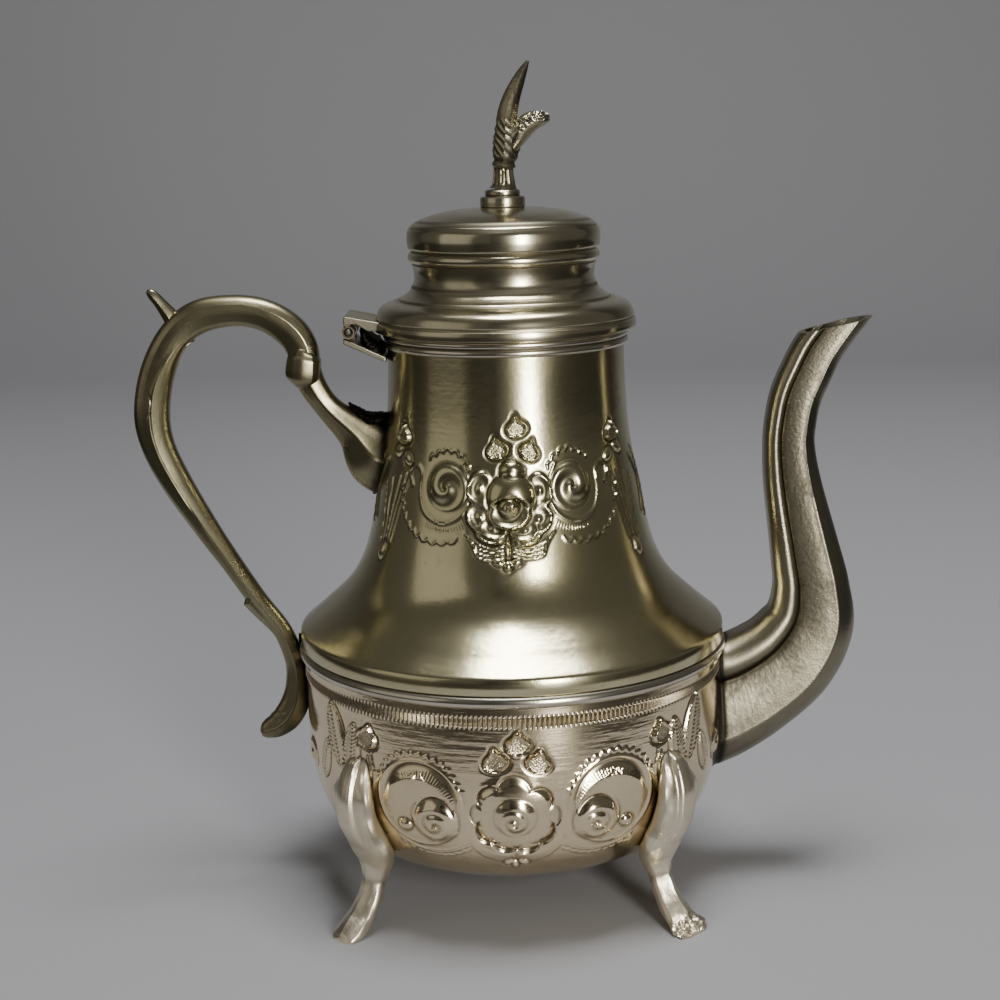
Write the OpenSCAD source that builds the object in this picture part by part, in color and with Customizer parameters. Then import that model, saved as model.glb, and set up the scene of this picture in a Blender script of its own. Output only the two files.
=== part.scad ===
// Footed coffee pot with a hinged lid, a swan-neck spout and a cast loop handle.
// The pot's axis stands on the origin, the soles are at z = 0, the spout points along +X.

/* [Pot shell] */
// Outer radius of the bowl at its widest
bowl_r = 65.6; // [64.5:0.1:66.5]
// Thickness of the raised sheet
sheet_t = 1.2; // [1:0.1:1.4]
// Height of the bowl's flat underside above the table
base_z = 9.9; // [9:0.1:11]
// Height of the shoulder skirt's lower edge
seam_z = 79.5; // [78:0.5:80]
// Height of the sharp crease above the skirt
crease_z = 84.4; // [84:0.1:85]
// Outer radius of the neck at its mouth
neck_r = 36.4; // [35.5:0.1:37]
// Height of the mouth
mouth_z = 176.8; // [176.5:0.1:176.9]
// Diameter of each strainer hole behind the spout
strainer_d = 3; // [2:0.5:3.5]

/* [Lid] */
// Radius of the lid's overhanging edge
lid_r = 40.3; // [39.5:0.1:41]
// Height of the lid's underside
lid_z = 177.1; // [177:0.1:177.3]
// Thickness of the lid's spun sheet
lid_t = 1.1; // [0.9:0.1:1.3]
// Outer radius of the sleeve that drops into the neck
sleeve_r = 34.2; // [33.5:0.1:34.3]
// Depth of the sleeve below the lid's underside
sleeve_drop = 8.5; // [6:0.5:9]

/* [Hinge] */
// Distance of the hinge axis from the pot's axis
hinge_x = 47.6; // [47:0.1:48.5]
// Height of the hinge axis
hinge_z = 177.8; // [177.5:0.1:178.2]
// Outer radius of the rolled knuckles
knuckle_r = 2.2; // [2:0.1:2.3]
// Radius of the hinge pin
pin_r = 1; // [0.8:0.1:1.2]
// Running clearance around the pin in the lid's knuckles
pin_clearance = 0.05; // [0.03:0.01:0.08]
// Width of the hinge leaves
hinge_w = 22; // [18:1:24]
// Length of the pot's middle knuckle
middle_w = 7.6; // [6:0.2:9]

/* [Spout and handle] */
// Wall of the cast spout
spout_t = 1.3; // [1:0.1:1.6]
// Half width of the spout across its root
spout_root_w = 13; // [12:0.5:14]
// Half thickness of the handle at the grip, front to back
grip_w = 4.6; // [4:0.2:5.2]

/* [Feet and finial] */
// Half width of the leaf-shaped pad of each foot
pad_w = 8.2; // [7.6:0.2:8.8]
// Radius of the finial's threaded stud
stud_r = 1.5; // [1.3:0.1:1.7]

/* [Hidden] */

$fn = 96;
sheet_colour = [0.55, 0.53, 0.47];
cast_colour = [0.48, 0.46, 0.41];
bead_colour = [0.62, 0.60, 0.54];
steel_colour = [0.45, 0.45, 0.46];
far = 400;                      // larger than the whole pot
knuckle_gap = 0.2;              // end play between neighbouring knuckles
leaf_gap = 0.15;                // room between a leaf and the other leaf's knuckles
lap = 0.5;                      // how far the bowl's rim stops below the shoulder
skirt_r = bowl_r + sheet_t;     // outside of the shoulder's skirt
dome_z = 208.2;                 // height of the drum's top edge
crown_z = 213.8;                // height of the lid's crown
crown_under_z = crown_z - lid_t - 0.1;
washer_t = 1;
nut_h = 3;
nut_across_corners = 6.9;
collar_top_z = 219.2;

// A smooth curve through p, with n steps between neighbouring points, for points of any length
function blend(a, b, c, d, t) = 0.5 * (2 * b + (c - a) * t + (2 * a - 5 * b + 4 * c - d) * t * t
    + (3 * b - a - 3 * c + d) * t * t * t);
function smooth(p, n) = let (m = len(p) - 1) concat(
    [for (i = [0 : m - 1]) for (j = [0 : n - 1])
        blend(p[max(i - 1, 0)], p[i], p[i + 1], p[min(i + 2, m)], j / n)],
    [p[m]]);
function reversed(p) = [for (i = [len(p) - 1 : -1 : 0]) p[i]];
function heading(p, i) = let (a = p[max(i - 1, 0)], b = p[min(i + 1, len(p) - 1)],
    d = [b[0] - a[0], b[1] - a[1]]) d / norm(d);
// The line that runs a sheet's thickness t inside a profile climbing from base to rim
function inside(p, t) = [for (i = [0 : len(p) - 1])
    let (h = heading(p, i)) [p[i][0] - t * h[1], p[i][1] + t * h[0]]];
function arc(cx, cz, r, from, to, n) =
    [for (i = [0 : n]) let (a = from + (to - from) * i / n) [cx + r * cos(a), cz + r * sin(a)]];

// Outer profiles, as radius and height
bowl_side = smooth([[20, base_z], [33, base_z + 2], [44, base_z + 5.6], [bowl_r - 11.7, base_z + 11],
    [bowl_r - 5.6, base_z + 18.2], [bowl_r - 2.2, base_z + 26.4], [bowl_r - 0.4, base_z + 37],
    [bowl_r, base_z + 46]], 3);
bowl_rim_z = crease_z - lap;
neck_side = smooth([[skirt_r - 0.7, crease_z + 0.6], [bowl_r - 5.9, 90.4], [bowl_r - 14.1, 98.2],
    [bowl_r - 19.1, 106.3], [bowl_r - 22.3, 116.3], [neck_r + 4.4, 128.5], [neck_r + 2, 141.2],
    [neck_r + 0.8, 152], [neck_r + 0.2, 163], [neck_r, 172]], 2);
bead_r = 1.9;
bead_z = seam_z - bead_r;
rim_side = concat([[neck_r, 172.3]], arc(neck_r + 0.1, 173.5, 1.3, -60, 60, 6),
    arc(neck_r + 0.3, 175.8, 1.1, -60, 65, 6), [[neck_r, mouth_z]]);
flange_side = concat([[sleeve_r, lid_z], [lid_r - 0.8, lid_z], [lid_r, lid_z + 0.7],
    [lid_r, lid_z + 2.3], [lid_r - 0.6, lid_z + 3.1]],
    smooth([[lid_r - 0.4, 181.3], [lid_r - 1.5, 183.6], [lid_r - 3.4, 185.2], [lid_r - 7.3, 186.5]], 3),
    smooth([[lid_r - 8.2, 187], [29.6, 188.5], [28.4, 190.6]], 3));
drum_side = concat(smooth([[28.4, 190.6], [27.7, 192.4], [27.7, 195], [28.2, 197.4]], 2),
    arc(27.5, 199.4, 1.9, -70, 70, 6), [[28.7, 201.6], [29.3, 202]],
    smooth([[29.6, 204.6], [29.4, 207.2], [28.8, dome_z]], 2));
dome_side = concat(smooth([[28.6, dome_z], [28, 209.1], [26.3, 210.2], [20, 212.3], [13, 213.4],
    [8, crown_z]], 2), [[stud_r + 0.2, crown_z]]);

// Centre lines in the XZ plane: x, z, half size across the bend, half size along Y
spout_line = smooth([[56, 55, 23, spout_root_w + 1], [66, 57, 20.5, spout_root_w],
    [76.5, 61.5, 18, 12.4], [87.6, 69.8, 16.4, 11.6], [94.4, 80.8, 14.6, 10.4], [95.2, 92.6, 12.2, 9.4],
    [93.2, 104.6, 10.9, 8.5], [89.2, 125, 9.1, 7.5], [87.7, 138, 8.1, 7.1], [88.2, 146, 8, 7],
    [89.8, 154, 8, 6.9], [92.8, 161.1, 8, 6.8], [95.7, 167.2, 7.8, 6.6], [99.5, 172.8, 7.5, 6.5],
    [105.8, 181.3, 7.5, 6.3], [111.6, 188.8, 7.6, 6.2]], 2);
handle_line = smooth([[-34, 138, 15.5, 8.5], [-41, 139, 11.5, 7], [-47.4, 145.6, 6.4, 5.4],
    [-54.9, 152.7, 4.2, 4.4], [-59.4, 159, 4.2, 4.6], [-62, 165.6, 5.8, 5.2], [-62.6, 172.3, 5.3, 5],
    [-66.6, 177.8, 5.1, grip_w], [-73.6, 182.4, 4.9, grip_w], [-83, 184.2, 4.8, grip_w],
    [-94.4, 182.4, 5.2, grip_w], [-102.6, 176.1, 5, grip_w], [-108.2, 164.9, 5.4, grip_w + 0.2],
    [-110.5, 152.5, 5.6, grip_w + 0.3], [-109.1, 142.1, 5.2, grip_w + 0.1], [-104, 130.5, 4.8, grip_w],
    [-95.5, 115.8, 3.9, 4.2], [-88.4, 104.6, 3.3, 3.8], [-80.4, 92, 3.1, 3.6], [-73.4, 82.2, 3, 3.6],
    [-69.7, 72.2, 3.2, 3.8], [-69.1, 64.6, 3.8, 4.1], [-69.9, 58.6, 4.5, 4.2], [-72.6, 53.5, 4.6, 4],
    [-76.4, 50.3, 4, 3.7], [-79.8, 49, 3, 3], [-81.6, 48.8, 1.8, 2]], 2);
spur_line = smooth([[-99, 176, 2, 2], [-103.6, 184, 2.6, 2.4], [-107.6, 188.8, 1.7, 1.6],
    [-109, 190.4, 0.7, 0.7]], 2);
finial_stem = smooth([[0.4, collar_top_z - 0.5, 4.1, 4.1], [0.5, 221, 3.1, 3.1], [0.5, 225.4, 2.9, 2.8],
    [1, 229.4, 3.6, 3.1], [1.8, 234, 4.2, 3.3], [2, 239.6, 3.2, 2.8], [3.2, 245.6, 2.8, 2.3],
    [5.6, 251.4, 2, 1.7], [7.6, 255.2, 1, 1], [8.8, 257.2, 0.3, 0.3]], 2);
finial_bud = smooth([[2.6, 231.5, 2, 2], [4.8, 235.2, 3, 2.8], [7.6, 238.4, 3, 3.2],
    [10.8, 239.7, 2.2, 3.2], [13.6, 239.7, 1, 2]], 2);
foot_line = smooth([[64.8, 55, 1.4, 3], [67, 50, 2.8, pad_w - 2.3], [68.2, 43, 3.8, pad_w - 0.5],
    [66.4, 35, 4.4, pad_w - 0.4], [63, 28, 4.4, pad_w], [60.4, 22, 4.4, pad_w - 1.2], [61.2, 16.2, 3.8, 4.3],
    [63.2, 10.8, 3.6, 4.1], [66.8, 5.8, 3.6, 4.8], [71.6, 1.2, 3.6, 5.2], [76, -2.8, 2, 4.2]], 2);

// One ring of the sweep: power 1 is an ellipse, below 1 is fuller, above 1 is a lozenge
function bulge(c, power) = sign(c) * pow(abs(c), power);
function ring(line, i, sides, power) = let (h = heading(line, i)) [for (k = [0 : sides - 1])
    let (a = 360 * k / sides, u = line[i][2] * bulge(cos(a), power))
    [line[i][0] - h[1] * u, line[i][3] * bulge(sin(a), power), line[i][1] + h[0] * u]];

module sweep(line, sides, power) {
    last = len(line) - 1;
    skin = [for (i = [0 : last - 1]) for (k = [0 : sides - 1])
        let (a = i * sides + k, b = i * sides + (k + 1) % sides)
        each [[a, b, b + sides], [a, b + sides, a + sides]]];
    start = [for (k = [sides - 1 : -1 : 0]) k];
    end = [for (k = [0 : sides - 1]) last * sides + k];
    polyhedron([for (i = [0 : last]) each ring(line, i, sides, power)],
        concat(skin, [start, end]), convexity = 8);
}

function thinner(line, t) = [for (p = line) [p[0], p[1], p[2] - t, p[3] - t]];

// A cylinder along Y, centred on the hinge axis
module along_hinge(r, length, y = 0) {
    translate([-hinge_x, y, hinge_z]) rotate([90, 0, 0]) cylinder(r = r, h = length, center = true);
}

// A plate whose outline lies in the XZ plane
module leaf_plate(outline, width, y = 0) {
    translate([0, y, 0]) rotate([90, 0, 0]) linear_extrude(width, center = true) polygon(outline);
}

// Everything inside the pot's outer surface, for seating the cast parts on it
module pot_outside() {
    rotate_extrude() polygon(concat([[0, base_z]], bowl_side,
        [[bowl_r, bead_z - bead_r]], arc(bowl_r, bead_z, bead_r, -90, 90, 8), [[0, seam_z]]));
    rotate_extrude() polygon(concat([[0, seam_z], [skirt_r, seam_z], [skirt_r, crease_z]], neck_side,
        rim_side, [[0, mouth_z]]));
}

module bowl() {
    color(sheet_colour) difference() {
        rotate_extrude() polygon(concat([[0, base_z]], bowl_side, [[bowl_r, bowl_rim_z],
            [bowl_r - sheet_t, bowl_rim_z]], reversed(inside(bowl_side, sheet_t)),
            [[0, base_z + sheet_t]]));
        for (row = [-2 : 2], column = [-1 : 1])
            if (row % 2 == 0 || column < 1)
                translate([bowl_r, 5 * (column + abs(row % 2) / 2), 58 + 4.6 * row])
                    rotate([0, 90, 0]) cylinder(d = strainer_d, h = 10, center = true, $fn = 24);
    }
}

module shoulder_shell() {
    color(sheet_colour) rotate_extrude() polygon(concat([[skirt_r, seam_z], [skirt_r, crease_z]],
        neck_side, [[neck_r, mouth_z], [neck_r - sheet_t, mouth_z]],
        reversed(inside(neck_side, sheet_t)), [[bowl_r, bowl_rim_z], [bowl_r, seam_z]]));
}

module girdle_bead() {
    color(bead_colour) rotate_extrude() polygon(arc(bowl_r, bead_z, bead_r, -90, 90, 8));
}

module neck_rim() {
    color(bead_colour) rotate_extrude() polygon(rim_side);
}

// The mouth is cut along a slanted line, lowest on the pot's side
module spout() {
    mouth_inner = [92.4, 173.9];
    mouth_lip = [111.7, 178.1];
    tilt = atan2(mouth_lip[1] - mouth_inner[1], mouth_lip[0] - mouth_inner[0]);
    color(cast_colour) difference() {
        sweep(spout_line, 20, 0.85);
        sweep(thinner(spout_line, spout_t), 20, 0.85);
        pot_outside();
        translate([mouth_inner[0], 0, mouth_inner[1]]) rotate([0, -tilt, 0])
            translate([-far / 2, -far / 2, 0]) cube(far);
    }
}

module handle() {
    color(cast_colour) difference() {
        union() {
            sweep(handle_line, 12, 1.1);
            sweep(spur_line, 8, 1);
        }
        pot_outside();
    }
}

module foot(azimuth) {
    color(cast_colour) difference() {
        rotate([0, 0, azimuth]) sweep(foot_line, 16, 0.9);
        pot_outside();
        translate([-far / 2, -far / 2, -far]) cube(far);
    }
}

module foot_front_left() { foot(225); }
module foot_front_right() { foot(315); }
module foot_rear_left() { foot(135); }
module foot_rear_right() { foot(45); }

// The pot's leaf slants down from under the barrel to the neck, and holds the middle knuckle
module hinge_body_leaf() {
    slope = -0.46;
    clear_z = hinge_z - (knuckle_r + leaf_gap) / cos(atan(slope));
    left = -hinge_x - 1.6;
    right = -neck_r + 6;
    leaf_t = 1.7;
    top_left = clear_z + slope * (left + hinge_x);
    top_right = clear_z + slope * (right + hinge_x);
    color(cast_colour) difference() {
        union() {
            leaf_plate([[left, top_left], [right, top_right], [right, top_right - leaf_t],
                [left, top_left - leaf_t]], hinge_w);
            leaf_plate([[-hinge_x - 1.2, hinge_z - 1.5], [-hinge_x + 1.6, hinge_z - 1.2],
                [-hinge_x + 1.6, clear_z - 1.2], [-hinge_x - 1.2, clear_z - 0.4]], middle_w);
            along_hinge(knuckle_r, middle_w);
        }
        along_hinge(pin_r, hinge_w + 2);
        pot_outside();
    }
}

module hinge_pin() {
    color(steel_colour) along_hinge(pin_r, hinge_w + 0.6);
}

module lid_outside() {
    rotate_extrude() polygon(concat([[0, lid_z]], flange_side, [[0, 190.6]]));
}

module lid_flange() {
    ledge = lid_z + lid_t;
    inner_edge = lid_r - lid_t;
    color(sheet_colour) rotate_extrude() polygon(concat(flange_side, [[28.4 - lid_t, 190.6],
        [28.6 - lid_t, 188.4], [lid_r - 8.6, 185.8], [lid_r - 4, 184], [inner_edge - 1.2, 182.4],
        [inner_edge - 0.7, ledge + 2], [inner_edge - 0.3, ledge + 1], [inner_edge - 0.7, ledge],
        [sleeve_r, ledge]]));
}

module lid_drum() {
    color(sheet_colour) rotate_extrude() polygon(concat(drum_side, [[28.8 - lid_t, dome_z],
        [28.5 - lid_t, 202.6], [27.7 - lid_t, 200.8], [27.7 - lid_t, 192.2], [28.4 - lid_t, 190.6]]));
}

module lid_dome() {
    color(sheet_colour) rotate_extrude() polygon(concat(dome_side, [[stud_r + 0.2, crown_under_z],
        [9, crown_under_z], [20, 211.1], [25.8, 209.1], [26.9, dome_z]]));
}

module lid_sleeve() {
    color(sheet_colour) rotate_extrude() polygon([[sleeve_r, lid_z - sleeve_drop],
        [sleeve_r, lid_z + 3], [sleeve_r - lid_t, lid_z + 3], [sleeve_r - lid_t, lid_z - sleeve_drop]]);
}

// The lid's leaf is a thick plate over the barrel, with a rolled knuckle at each side
module hinge_lid_leaf() {
    side_w = (hinge_w - middle_w) / 2 - knuckle_gap;
    side_y = (hinge_w - side_w) / 2;
    under = hinge_z + knuckle_r + leaf_gap;
    color(cast_colour) difference() {
        union() {
            leaf_plate([[-hinge_x - 1.4, under], [-hinge_x - 1.4, under + 2.2], [-hinge_x - 0.8, under + 2.5],
                [-lid_r + 1.4, under + 0.5], [-lid_r + 6, under + 0.4], [-lid_r + 6, lid_z + 0.8],
                [-lid_r - 1.4, lid_z + 0.8], [-hinge_x + 2.6, under]], hinge_w);
            for (y = [-side_y, side_y]) {
                along_hinge(knuckle_r, side_w, y);
                leaf_plate([[-hinge_x - 1.4, hinge_z + 1.3], [-hinge_x - 1.4, under + 1],
                    [-hinge_x + 2, under + 1], [-hinge_x + 1.6, hinge_z + 1.3]], side_w, y);
            }
        }
        along_hinge(pin_r + pin_clearance, hinge_w + 2);
        lid_outside();
    }
}

module finial() {
    color(cast_colour) difference() {
        union() {
            sweep(finial_stem, 12, 1.1);
            sweep(finial_bud, 10, 0.9);
        }
        cylinder(r = stud_r, h = collar_top_z + 4);
        translate([0, 0, collar_top_z - far]) cylinder(r = far, h = far);
    }
}

module finial_collar() {
    color(bead_colour) rotate_extrude() polygon([[stud_r, crown_z], [6.4, crown_z], [6.8, crown_z + 0.5],
        [6.8, crown_z + 2.7], [6.2, crown_z + 3.3], [5.2, crown_z + 3.5], [5.3, crown_z + 4.7],
        [4.8, collar_top_z], [stud_r, collar_top_z]]);
}

module finial_stud() {
    color(steel_colour) translate([0, 0, crown_under_z - washer_t - nut_h - 1])
        cylinder(r = stud_r, h = collar_top_z + 4 - crown_under_z + washer_t + nut_h + 1);
}

module finial_washer() {
    color(bead_colour) translate([0, 0, crown_under_z - washer_t]) difference() {
        cylinder(r = 5, h = washer_t);
        translate([0, 0, -1]) cylinder(r = stud_r + 0.2, h = washer_t + 2);
    }
}

module finial_nut() {
    color(bead_colour) translate([0, 0, crown_under_z - washer_t - nut_h]) difference() {
        cylinder(d = nut_across_corners, h = nut_h, $fn = 6);
        translate([0, 0, -1]) cylinder(r = stud_r, h = nut_h + 2);
    }
}

bowl();
shoulder_shell();
girdle_bead();
neck_rim();
spout();
handle();
foot_front_left();
foot_front_right();
foot_rear_left();
foot_rear_right();
hinge_body_leaf();
hinge_pin();
lid_flange();
lid_drum();
lid_dome();
lid_sleeve();
hinge_lid_leaf();
finial();
finial_collar();
finial_stud();
finial_washer();
finial_nut();
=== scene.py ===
import math

import bpy
import numpy as np
from mathutils import Matrix, Vector


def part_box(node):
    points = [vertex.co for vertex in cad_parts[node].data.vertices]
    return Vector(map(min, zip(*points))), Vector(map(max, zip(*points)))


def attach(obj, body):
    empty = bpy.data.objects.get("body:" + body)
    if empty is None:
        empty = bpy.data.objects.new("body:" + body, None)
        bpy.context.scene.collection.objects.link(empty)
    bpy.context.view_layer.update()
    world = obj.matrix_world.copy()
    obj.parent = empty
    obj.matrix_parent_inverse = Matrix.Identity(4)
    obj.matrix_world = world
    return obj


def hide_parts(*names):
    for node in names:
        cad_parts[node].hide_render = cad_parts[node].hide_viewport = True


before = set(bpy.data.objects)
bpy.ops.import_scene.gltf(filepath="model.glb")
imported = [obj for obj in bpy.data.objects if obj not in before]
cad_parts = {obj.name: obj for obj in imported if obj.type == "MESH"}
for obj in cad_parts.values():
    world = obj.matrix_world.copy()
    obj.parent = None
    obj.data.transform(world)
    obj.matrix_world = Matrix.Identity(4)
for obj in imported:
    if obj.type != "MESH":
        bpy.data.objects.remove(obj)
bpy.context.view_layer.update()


# ---- Bowl ----
# The lower body is a disc of thin brass raised into a deep round bowl. It is bossed out from inside
# and chased from outside with a rose, two scrolls and leaves, front and back, then silver plated.
mm = 0.001


def box_mm(node):
    """The low and the high corner of one of the frame's nodes, in millimetres."""
    return [np.array(corner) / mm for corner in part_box(node)]


def smooth(points, steps):
    """A smooth curve through points of any size, with so many steps between neighbours."""
    p = np.array(points, float)
    p = np.vstack([p[:1], p, p[-1:]])
    t = np.linspace(0, 1, steps, endpoint=False)[:, None]
    parts = []
    for a, b, c, d in zip(p[:-3], p[1:-2], p[2:-1], p[3:]):
        parts.append(0.5 * (2 * b + (c - a) * t + (2 * a - 5 * b + 4 * c - d) * t**2
                            + (3 * b - a - 3 * c + d) * t**3))
    return np.vstack(parts + [p[-1:]])


def run_along(line):
    """The distance from a line's first point to each of its points."""
    steps = np.linalg.norm(np.diff(line[:, :2], axis=0), axis=1)
    return np.concatenate([[0], np.cumsum(steps)])


def evenly(points, gap):
    """The same line with points about a gap apart."""
    p = np.array(points, float)
    run = run_along(p)
    at = np.linspace(0, run[-1], max(2, int(round(run[-1] / gap)) + 1))
    return np.stack([np.interp(at, run, p[:, i]) for i in range(p.shape[1])], axis=1)


def heading(line):
    """The unit direction of a line at each of its points."""
    d = np.gradient(line[:, :2], axis=0)
    return d / np.maximum(np.linalg.norm(d, axis=1, keepdims=True), 1e-9)


def outward(line):
    """Unit normals of a profile of radius and height, on its outer side when it climbs."""
    d = heading(line)
    return np.stack([d[:, 1], -d[:, 0]], axis=1)


def mesh_of(name, points, faces, material):
    mesh = bpy.data.meshes.new(name)
    mesh.from_pydata(points, [], faces)
    mesh.materials.append(material)
    return mesh


def placed(name, data):
    """A new object of the scene."""
    thing = bpy.data.objects.new(name, data)
    bpy.context.scene.collection.objects.link(thing)
    return thing


def piece_from(name, points, faces, material, crease=40, tarnish=None, punched=None):
    """A smooth-shaded mesh object in metres from points in millimetres."""
    mesh = mesh_of(name, (np.asarray(points).reshape(-1, 3) * mm).tolist(), faces, material)
    mesh.update()
    mesh.polygons.foreach_set("use_smooth", np.ones(len(mesh.polygons), bool))
    mesh.set_sharp_from_angle(angle=math.radians(crease))
    for layer_name, values in (("tarnish", tarnish), ("punched", punched)):
        if values is not None:
            layer = mesh.attributes.new(layer_name, "FLOAT", "POINT")
            layer.data.foreach_set("value", np.asarray(values, np.float32).ravel())
    return placed(name, mesh)


def grid_faces(rows, columns, closed_rows=False, caps=False):
    """Quads over a grid whose columns run round; rows may close too, or end in two caps."""
    index = np.arange(rows * columns).reshape(rows, columns)
    low = index if closed_rows else index[:-1]
    high = np.roll(index, -1, axis=0) if closed_rows else index[1:]
    quads = np.stack([low, np.roll(low, -1, 1), np.roll(high, -1, 1), high], -1)
    quads = quads.reshape(-1, 4).tolist()
    if caps:
        quads += [list(range(columns))[::-1], index[-1].tolist()]
    return quads


def turned(line, columns, lift=None):
    """Points of a profile turned about the pot's axis; lift raises each point along its normal."""
    angle = 2 * np.pi * np.arange(columns) / columns
    normal = outward(line)
    radius = np.repeat(line[:, :1], columns, 1)
    height = np.repeat(line[:, 1:2], columns, 1)
    if lift is not None:
        radius = radius + normal[:, :1] * lift
        height = height + normal[:, 1:] * lift
    return np.stack([radius * np.cos(angle), radius * np.sin(angle), height], -1)


class Chasing:
    """The punched and bossed relief of a band, on a chart of distance round and height."""

    def __init__(self, around, height):
        self.s, self.z = np.meshgrid(around, height)
        self.lift = np.zeros_like(self.s)
        self.punched = np.zeros_like(self.s)

    def near(self, low, high):
        return (self.s > low[0]) & (self.s < high[0]) & (self.z > low[1]) & (self.z < high[1])

    def ridge(self, path, half, rise):
        """A raised or, with a negative rise, a sunk line along a path."""
        path = np.array(path, float)
        pick = self.near(path.min(0) - 3 * half, path.max(0) + 3 * half)
        p = np.stack([self.s[pick], self.z[pick]], -1)
        best = np.full(len(p), 9.0)
        for a, b in zip(path[:-1], path[1:]):
            ab = b - a
            t = np.clip((p - a) @ ab / max(ab @ ab, 1e-9), 0, 1)
            best = np.minimum(best, np.linalg.norm(p - a - t[:, None] * ab, axis=1))
        self.lift[pick] += rise * np.exp(-((best / half) ** 2))

    def local(self, cs, cz, size, turn):
        """Picked points in the local axes of a motif, and which they are."""
        reach = 1.9 * size
        pick = self.near((cs - reach, cz - reach), (cs + reach, cz + reach))
        cos, sin = math.cos(math.radians(turn)), math.sin(math.radians(turn))
        ds, dz = self.s[pick] - cs, self.z[pick] - cz
        return pick, cos * ds + sin * dz, -sin * ds + cos * dz

    def boss(self, cs, cz, rs, rz, rise, turn=0, edge=0.2):
        """A domed lump with a punched line round it."""
        pick, u, v = self.local(cs, cz, max(rs, rz), turn)
        d = np.sqrt((u / rs) ** 2 + (v / rz) ** 2)
        dome = rise * np.clip(1 - d**2, 0, 1) ** 0.72
        groove = edge * np.exp(-(((d - 1.05) * min(rs, rz) / 0.5) ** 2))
        self.lift[pick] = np.where(d < 1, np.maximum(self.lift[pick], dome), self.lift[pick] - groove)

    def petal(self, cs, cz, rs, rz, rise, turn):
        """A cupped petal that climbs to a rolled rim on the side that turn points away from +z."""
        pick, u, v = self.local(cs, cz, max(rs, rz), turn)
        d = np.sqrt((u / rs) ** 2 + (v / rz) ** 2)
        far = np.clip(0.5 + 0.6 * v / rz, 0, 1)
        cup = 0.8 * np.exp(-(((d - 0.4) / 0.34) ** 2))
        body = rise * far * (np.clip(1 - d**6, 0, 1) ** 0.5 - cup)
        cover = np.clip((1.0 - d) * 7, 0, 1)
        groove = 0.14 * far * np.exp(-(((d - 1.06) * min(rs, rz) / 0.5) ** 2))
        self.lift[pick] = self.lift[pick] * (1 - cover) + body * cover - groove * (d >= 1)

    def crescent(self, cs, cz, radius, turn, depth, thick=0.6):
        """A punched hollow shaped like a moon, steep on its outer edge and soft inside."""
        pick, u, v = self.local(cs, cz, radius, turn)
        inside = np.clip((radius - np.hypot(u, v)) / 0.6, 0, 1)
        beyond = np.clip((np.hypot(u, v + thick * radius) - radius) / (0.8 * thick * radius), 0, 1)
        self.lift[pick] -= depth * inside * beyond

    def mound(self, cs, cz, radius, lobes, rise):
        """A low swelling with a lobed edge, worked up from inside."""
        pick, u, v = self.local(cs, cz, radius, 0)
        edge = radius * (0.9 + 0.1 * np.abs(np.sin(np.arctan2(v, u) * lobes / 2)))
        d = np.hypot(u, v) / edge
        self.lift[pick] += rise * np.clip(1 - d**2, 0, 1) ** 1.3

    def coil(self, cs, cz, radius, turns, rise, start=0, hand=1, sink=0.0):
        """A rolled comma whose one rounded turn tapers to a small eye."""
        pick, u, v = self.local(cs, cz, radius, 0)
        r, bearing = np.hypot(u, v), np.degrees(np.arctan2(v, u * hand)) - start
        phase = np.sqrt(r / radius) * turns - bearing / 360
        cover = np.clip((radius - r) / (0.2 * radius), 0, 1)
        turn_height = rise * (0.5 + 0.5 * np.cos(2 * np.pi * phase)) ** 0.8
        self.lift[pick] += cover * (turn_height - sink)

    def veined_leaf(self, cs, cz, rs, rz, turn, rise):
        """A long leaf with a sunk rib and slanted veins."""
        pick, u, v = self.local(cs, cz, max(rs, rz), turn)
        wide = rs * np.clip(1 - (v / rz) ** 2, 0.001, 1) ** 0.75
        d = np.where(np.abs(v) < rz, np.abs(u) / wide, 9)
        rolled_edge = np.exp(-(((d - 0.85) / 0.16) ** 2))
        body = rise * (0.55 * np.sqrt(np.clip(1 - d**2, 0, 1)) + 0.45 * rolled_edge)
        veins = 0.14 * np.cos(2 * np.pi * (v - 0.9 * np.abs(u)) / 1.25) * (d < 0.78)
        rib = 0.3 * np.exp(-((u / 0.32) ** 2)) * (d < 0.9)
        edge = np.clip((1 - d) * 6, 0, 1)
        self.lift[pick] = np.where(d < 1, np.maximum(self.lift[pick], edge * (body + veins - rib)),
                                   self.lift[pick] - 0.2 * np.exp(-(((d - 1.1) * rs / 0.4) ** 2)))

    def onion_leaf(self, cs, cz, size, turn, rise):
        """A round leaf with a sharp tip: a raised lip round a sunk, cross-hatched field."""
        pick, u, v = self.local(cs, cz, size * 1.2, turn)
        bearing = np.arctan2(v, u)
        tip = np.maximum(0, np.sin(bearing)) ** 14
        d = np.hypot(u * 0.9, v * 1.25) / (size * (1 + 0.6 * tip))
        field = rise * np.clip((1 - d) * 5, 0, 1) ** 0.6
        lip = 0.45 * np.exp(-(((d - 0.88) * size / 0.42) ** 2))
        sink = -0.25 * (d < 0.78)
        groove = 0.3 * np.exp(-(((d - 1.1) * size / 0.5) ** 2))
        self.lift[pick] = np.where(d < 1, np.maximum(self.lift[pick], field + lip + sink),
                                   self.lift[pick] - groove)
        self.punched[pick] = np.maximum(self.punched[pick], np.clip((0.8 - d) * 8, 0, 1))

    def comb(self, cs, cz, inner, outer, start, end, pitch, rise):
        """Short strokes fanned round a centre, between two radii."""
        pick, u, v = self.local(cs, cz, outer, 0)
        r, bearing = np.hypot(u, v), np.degrees(np.arctan2(v, u)) % 360
        mid = (inner + outer) / 2
        band = np.clip((r - inner) / 0.6, 0, 1) * np.clip((outer - r) / 0.4, 0, 1)
        span = np.clip((bearing - start) / 4, 0, 1) * np.clip((end - bearing) / 4, 0, 1)
        self.lift[pick] += rise * band * span * np.cos(np.radians(bearing) * mid / pitch * 2 * np.pi)

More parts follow.
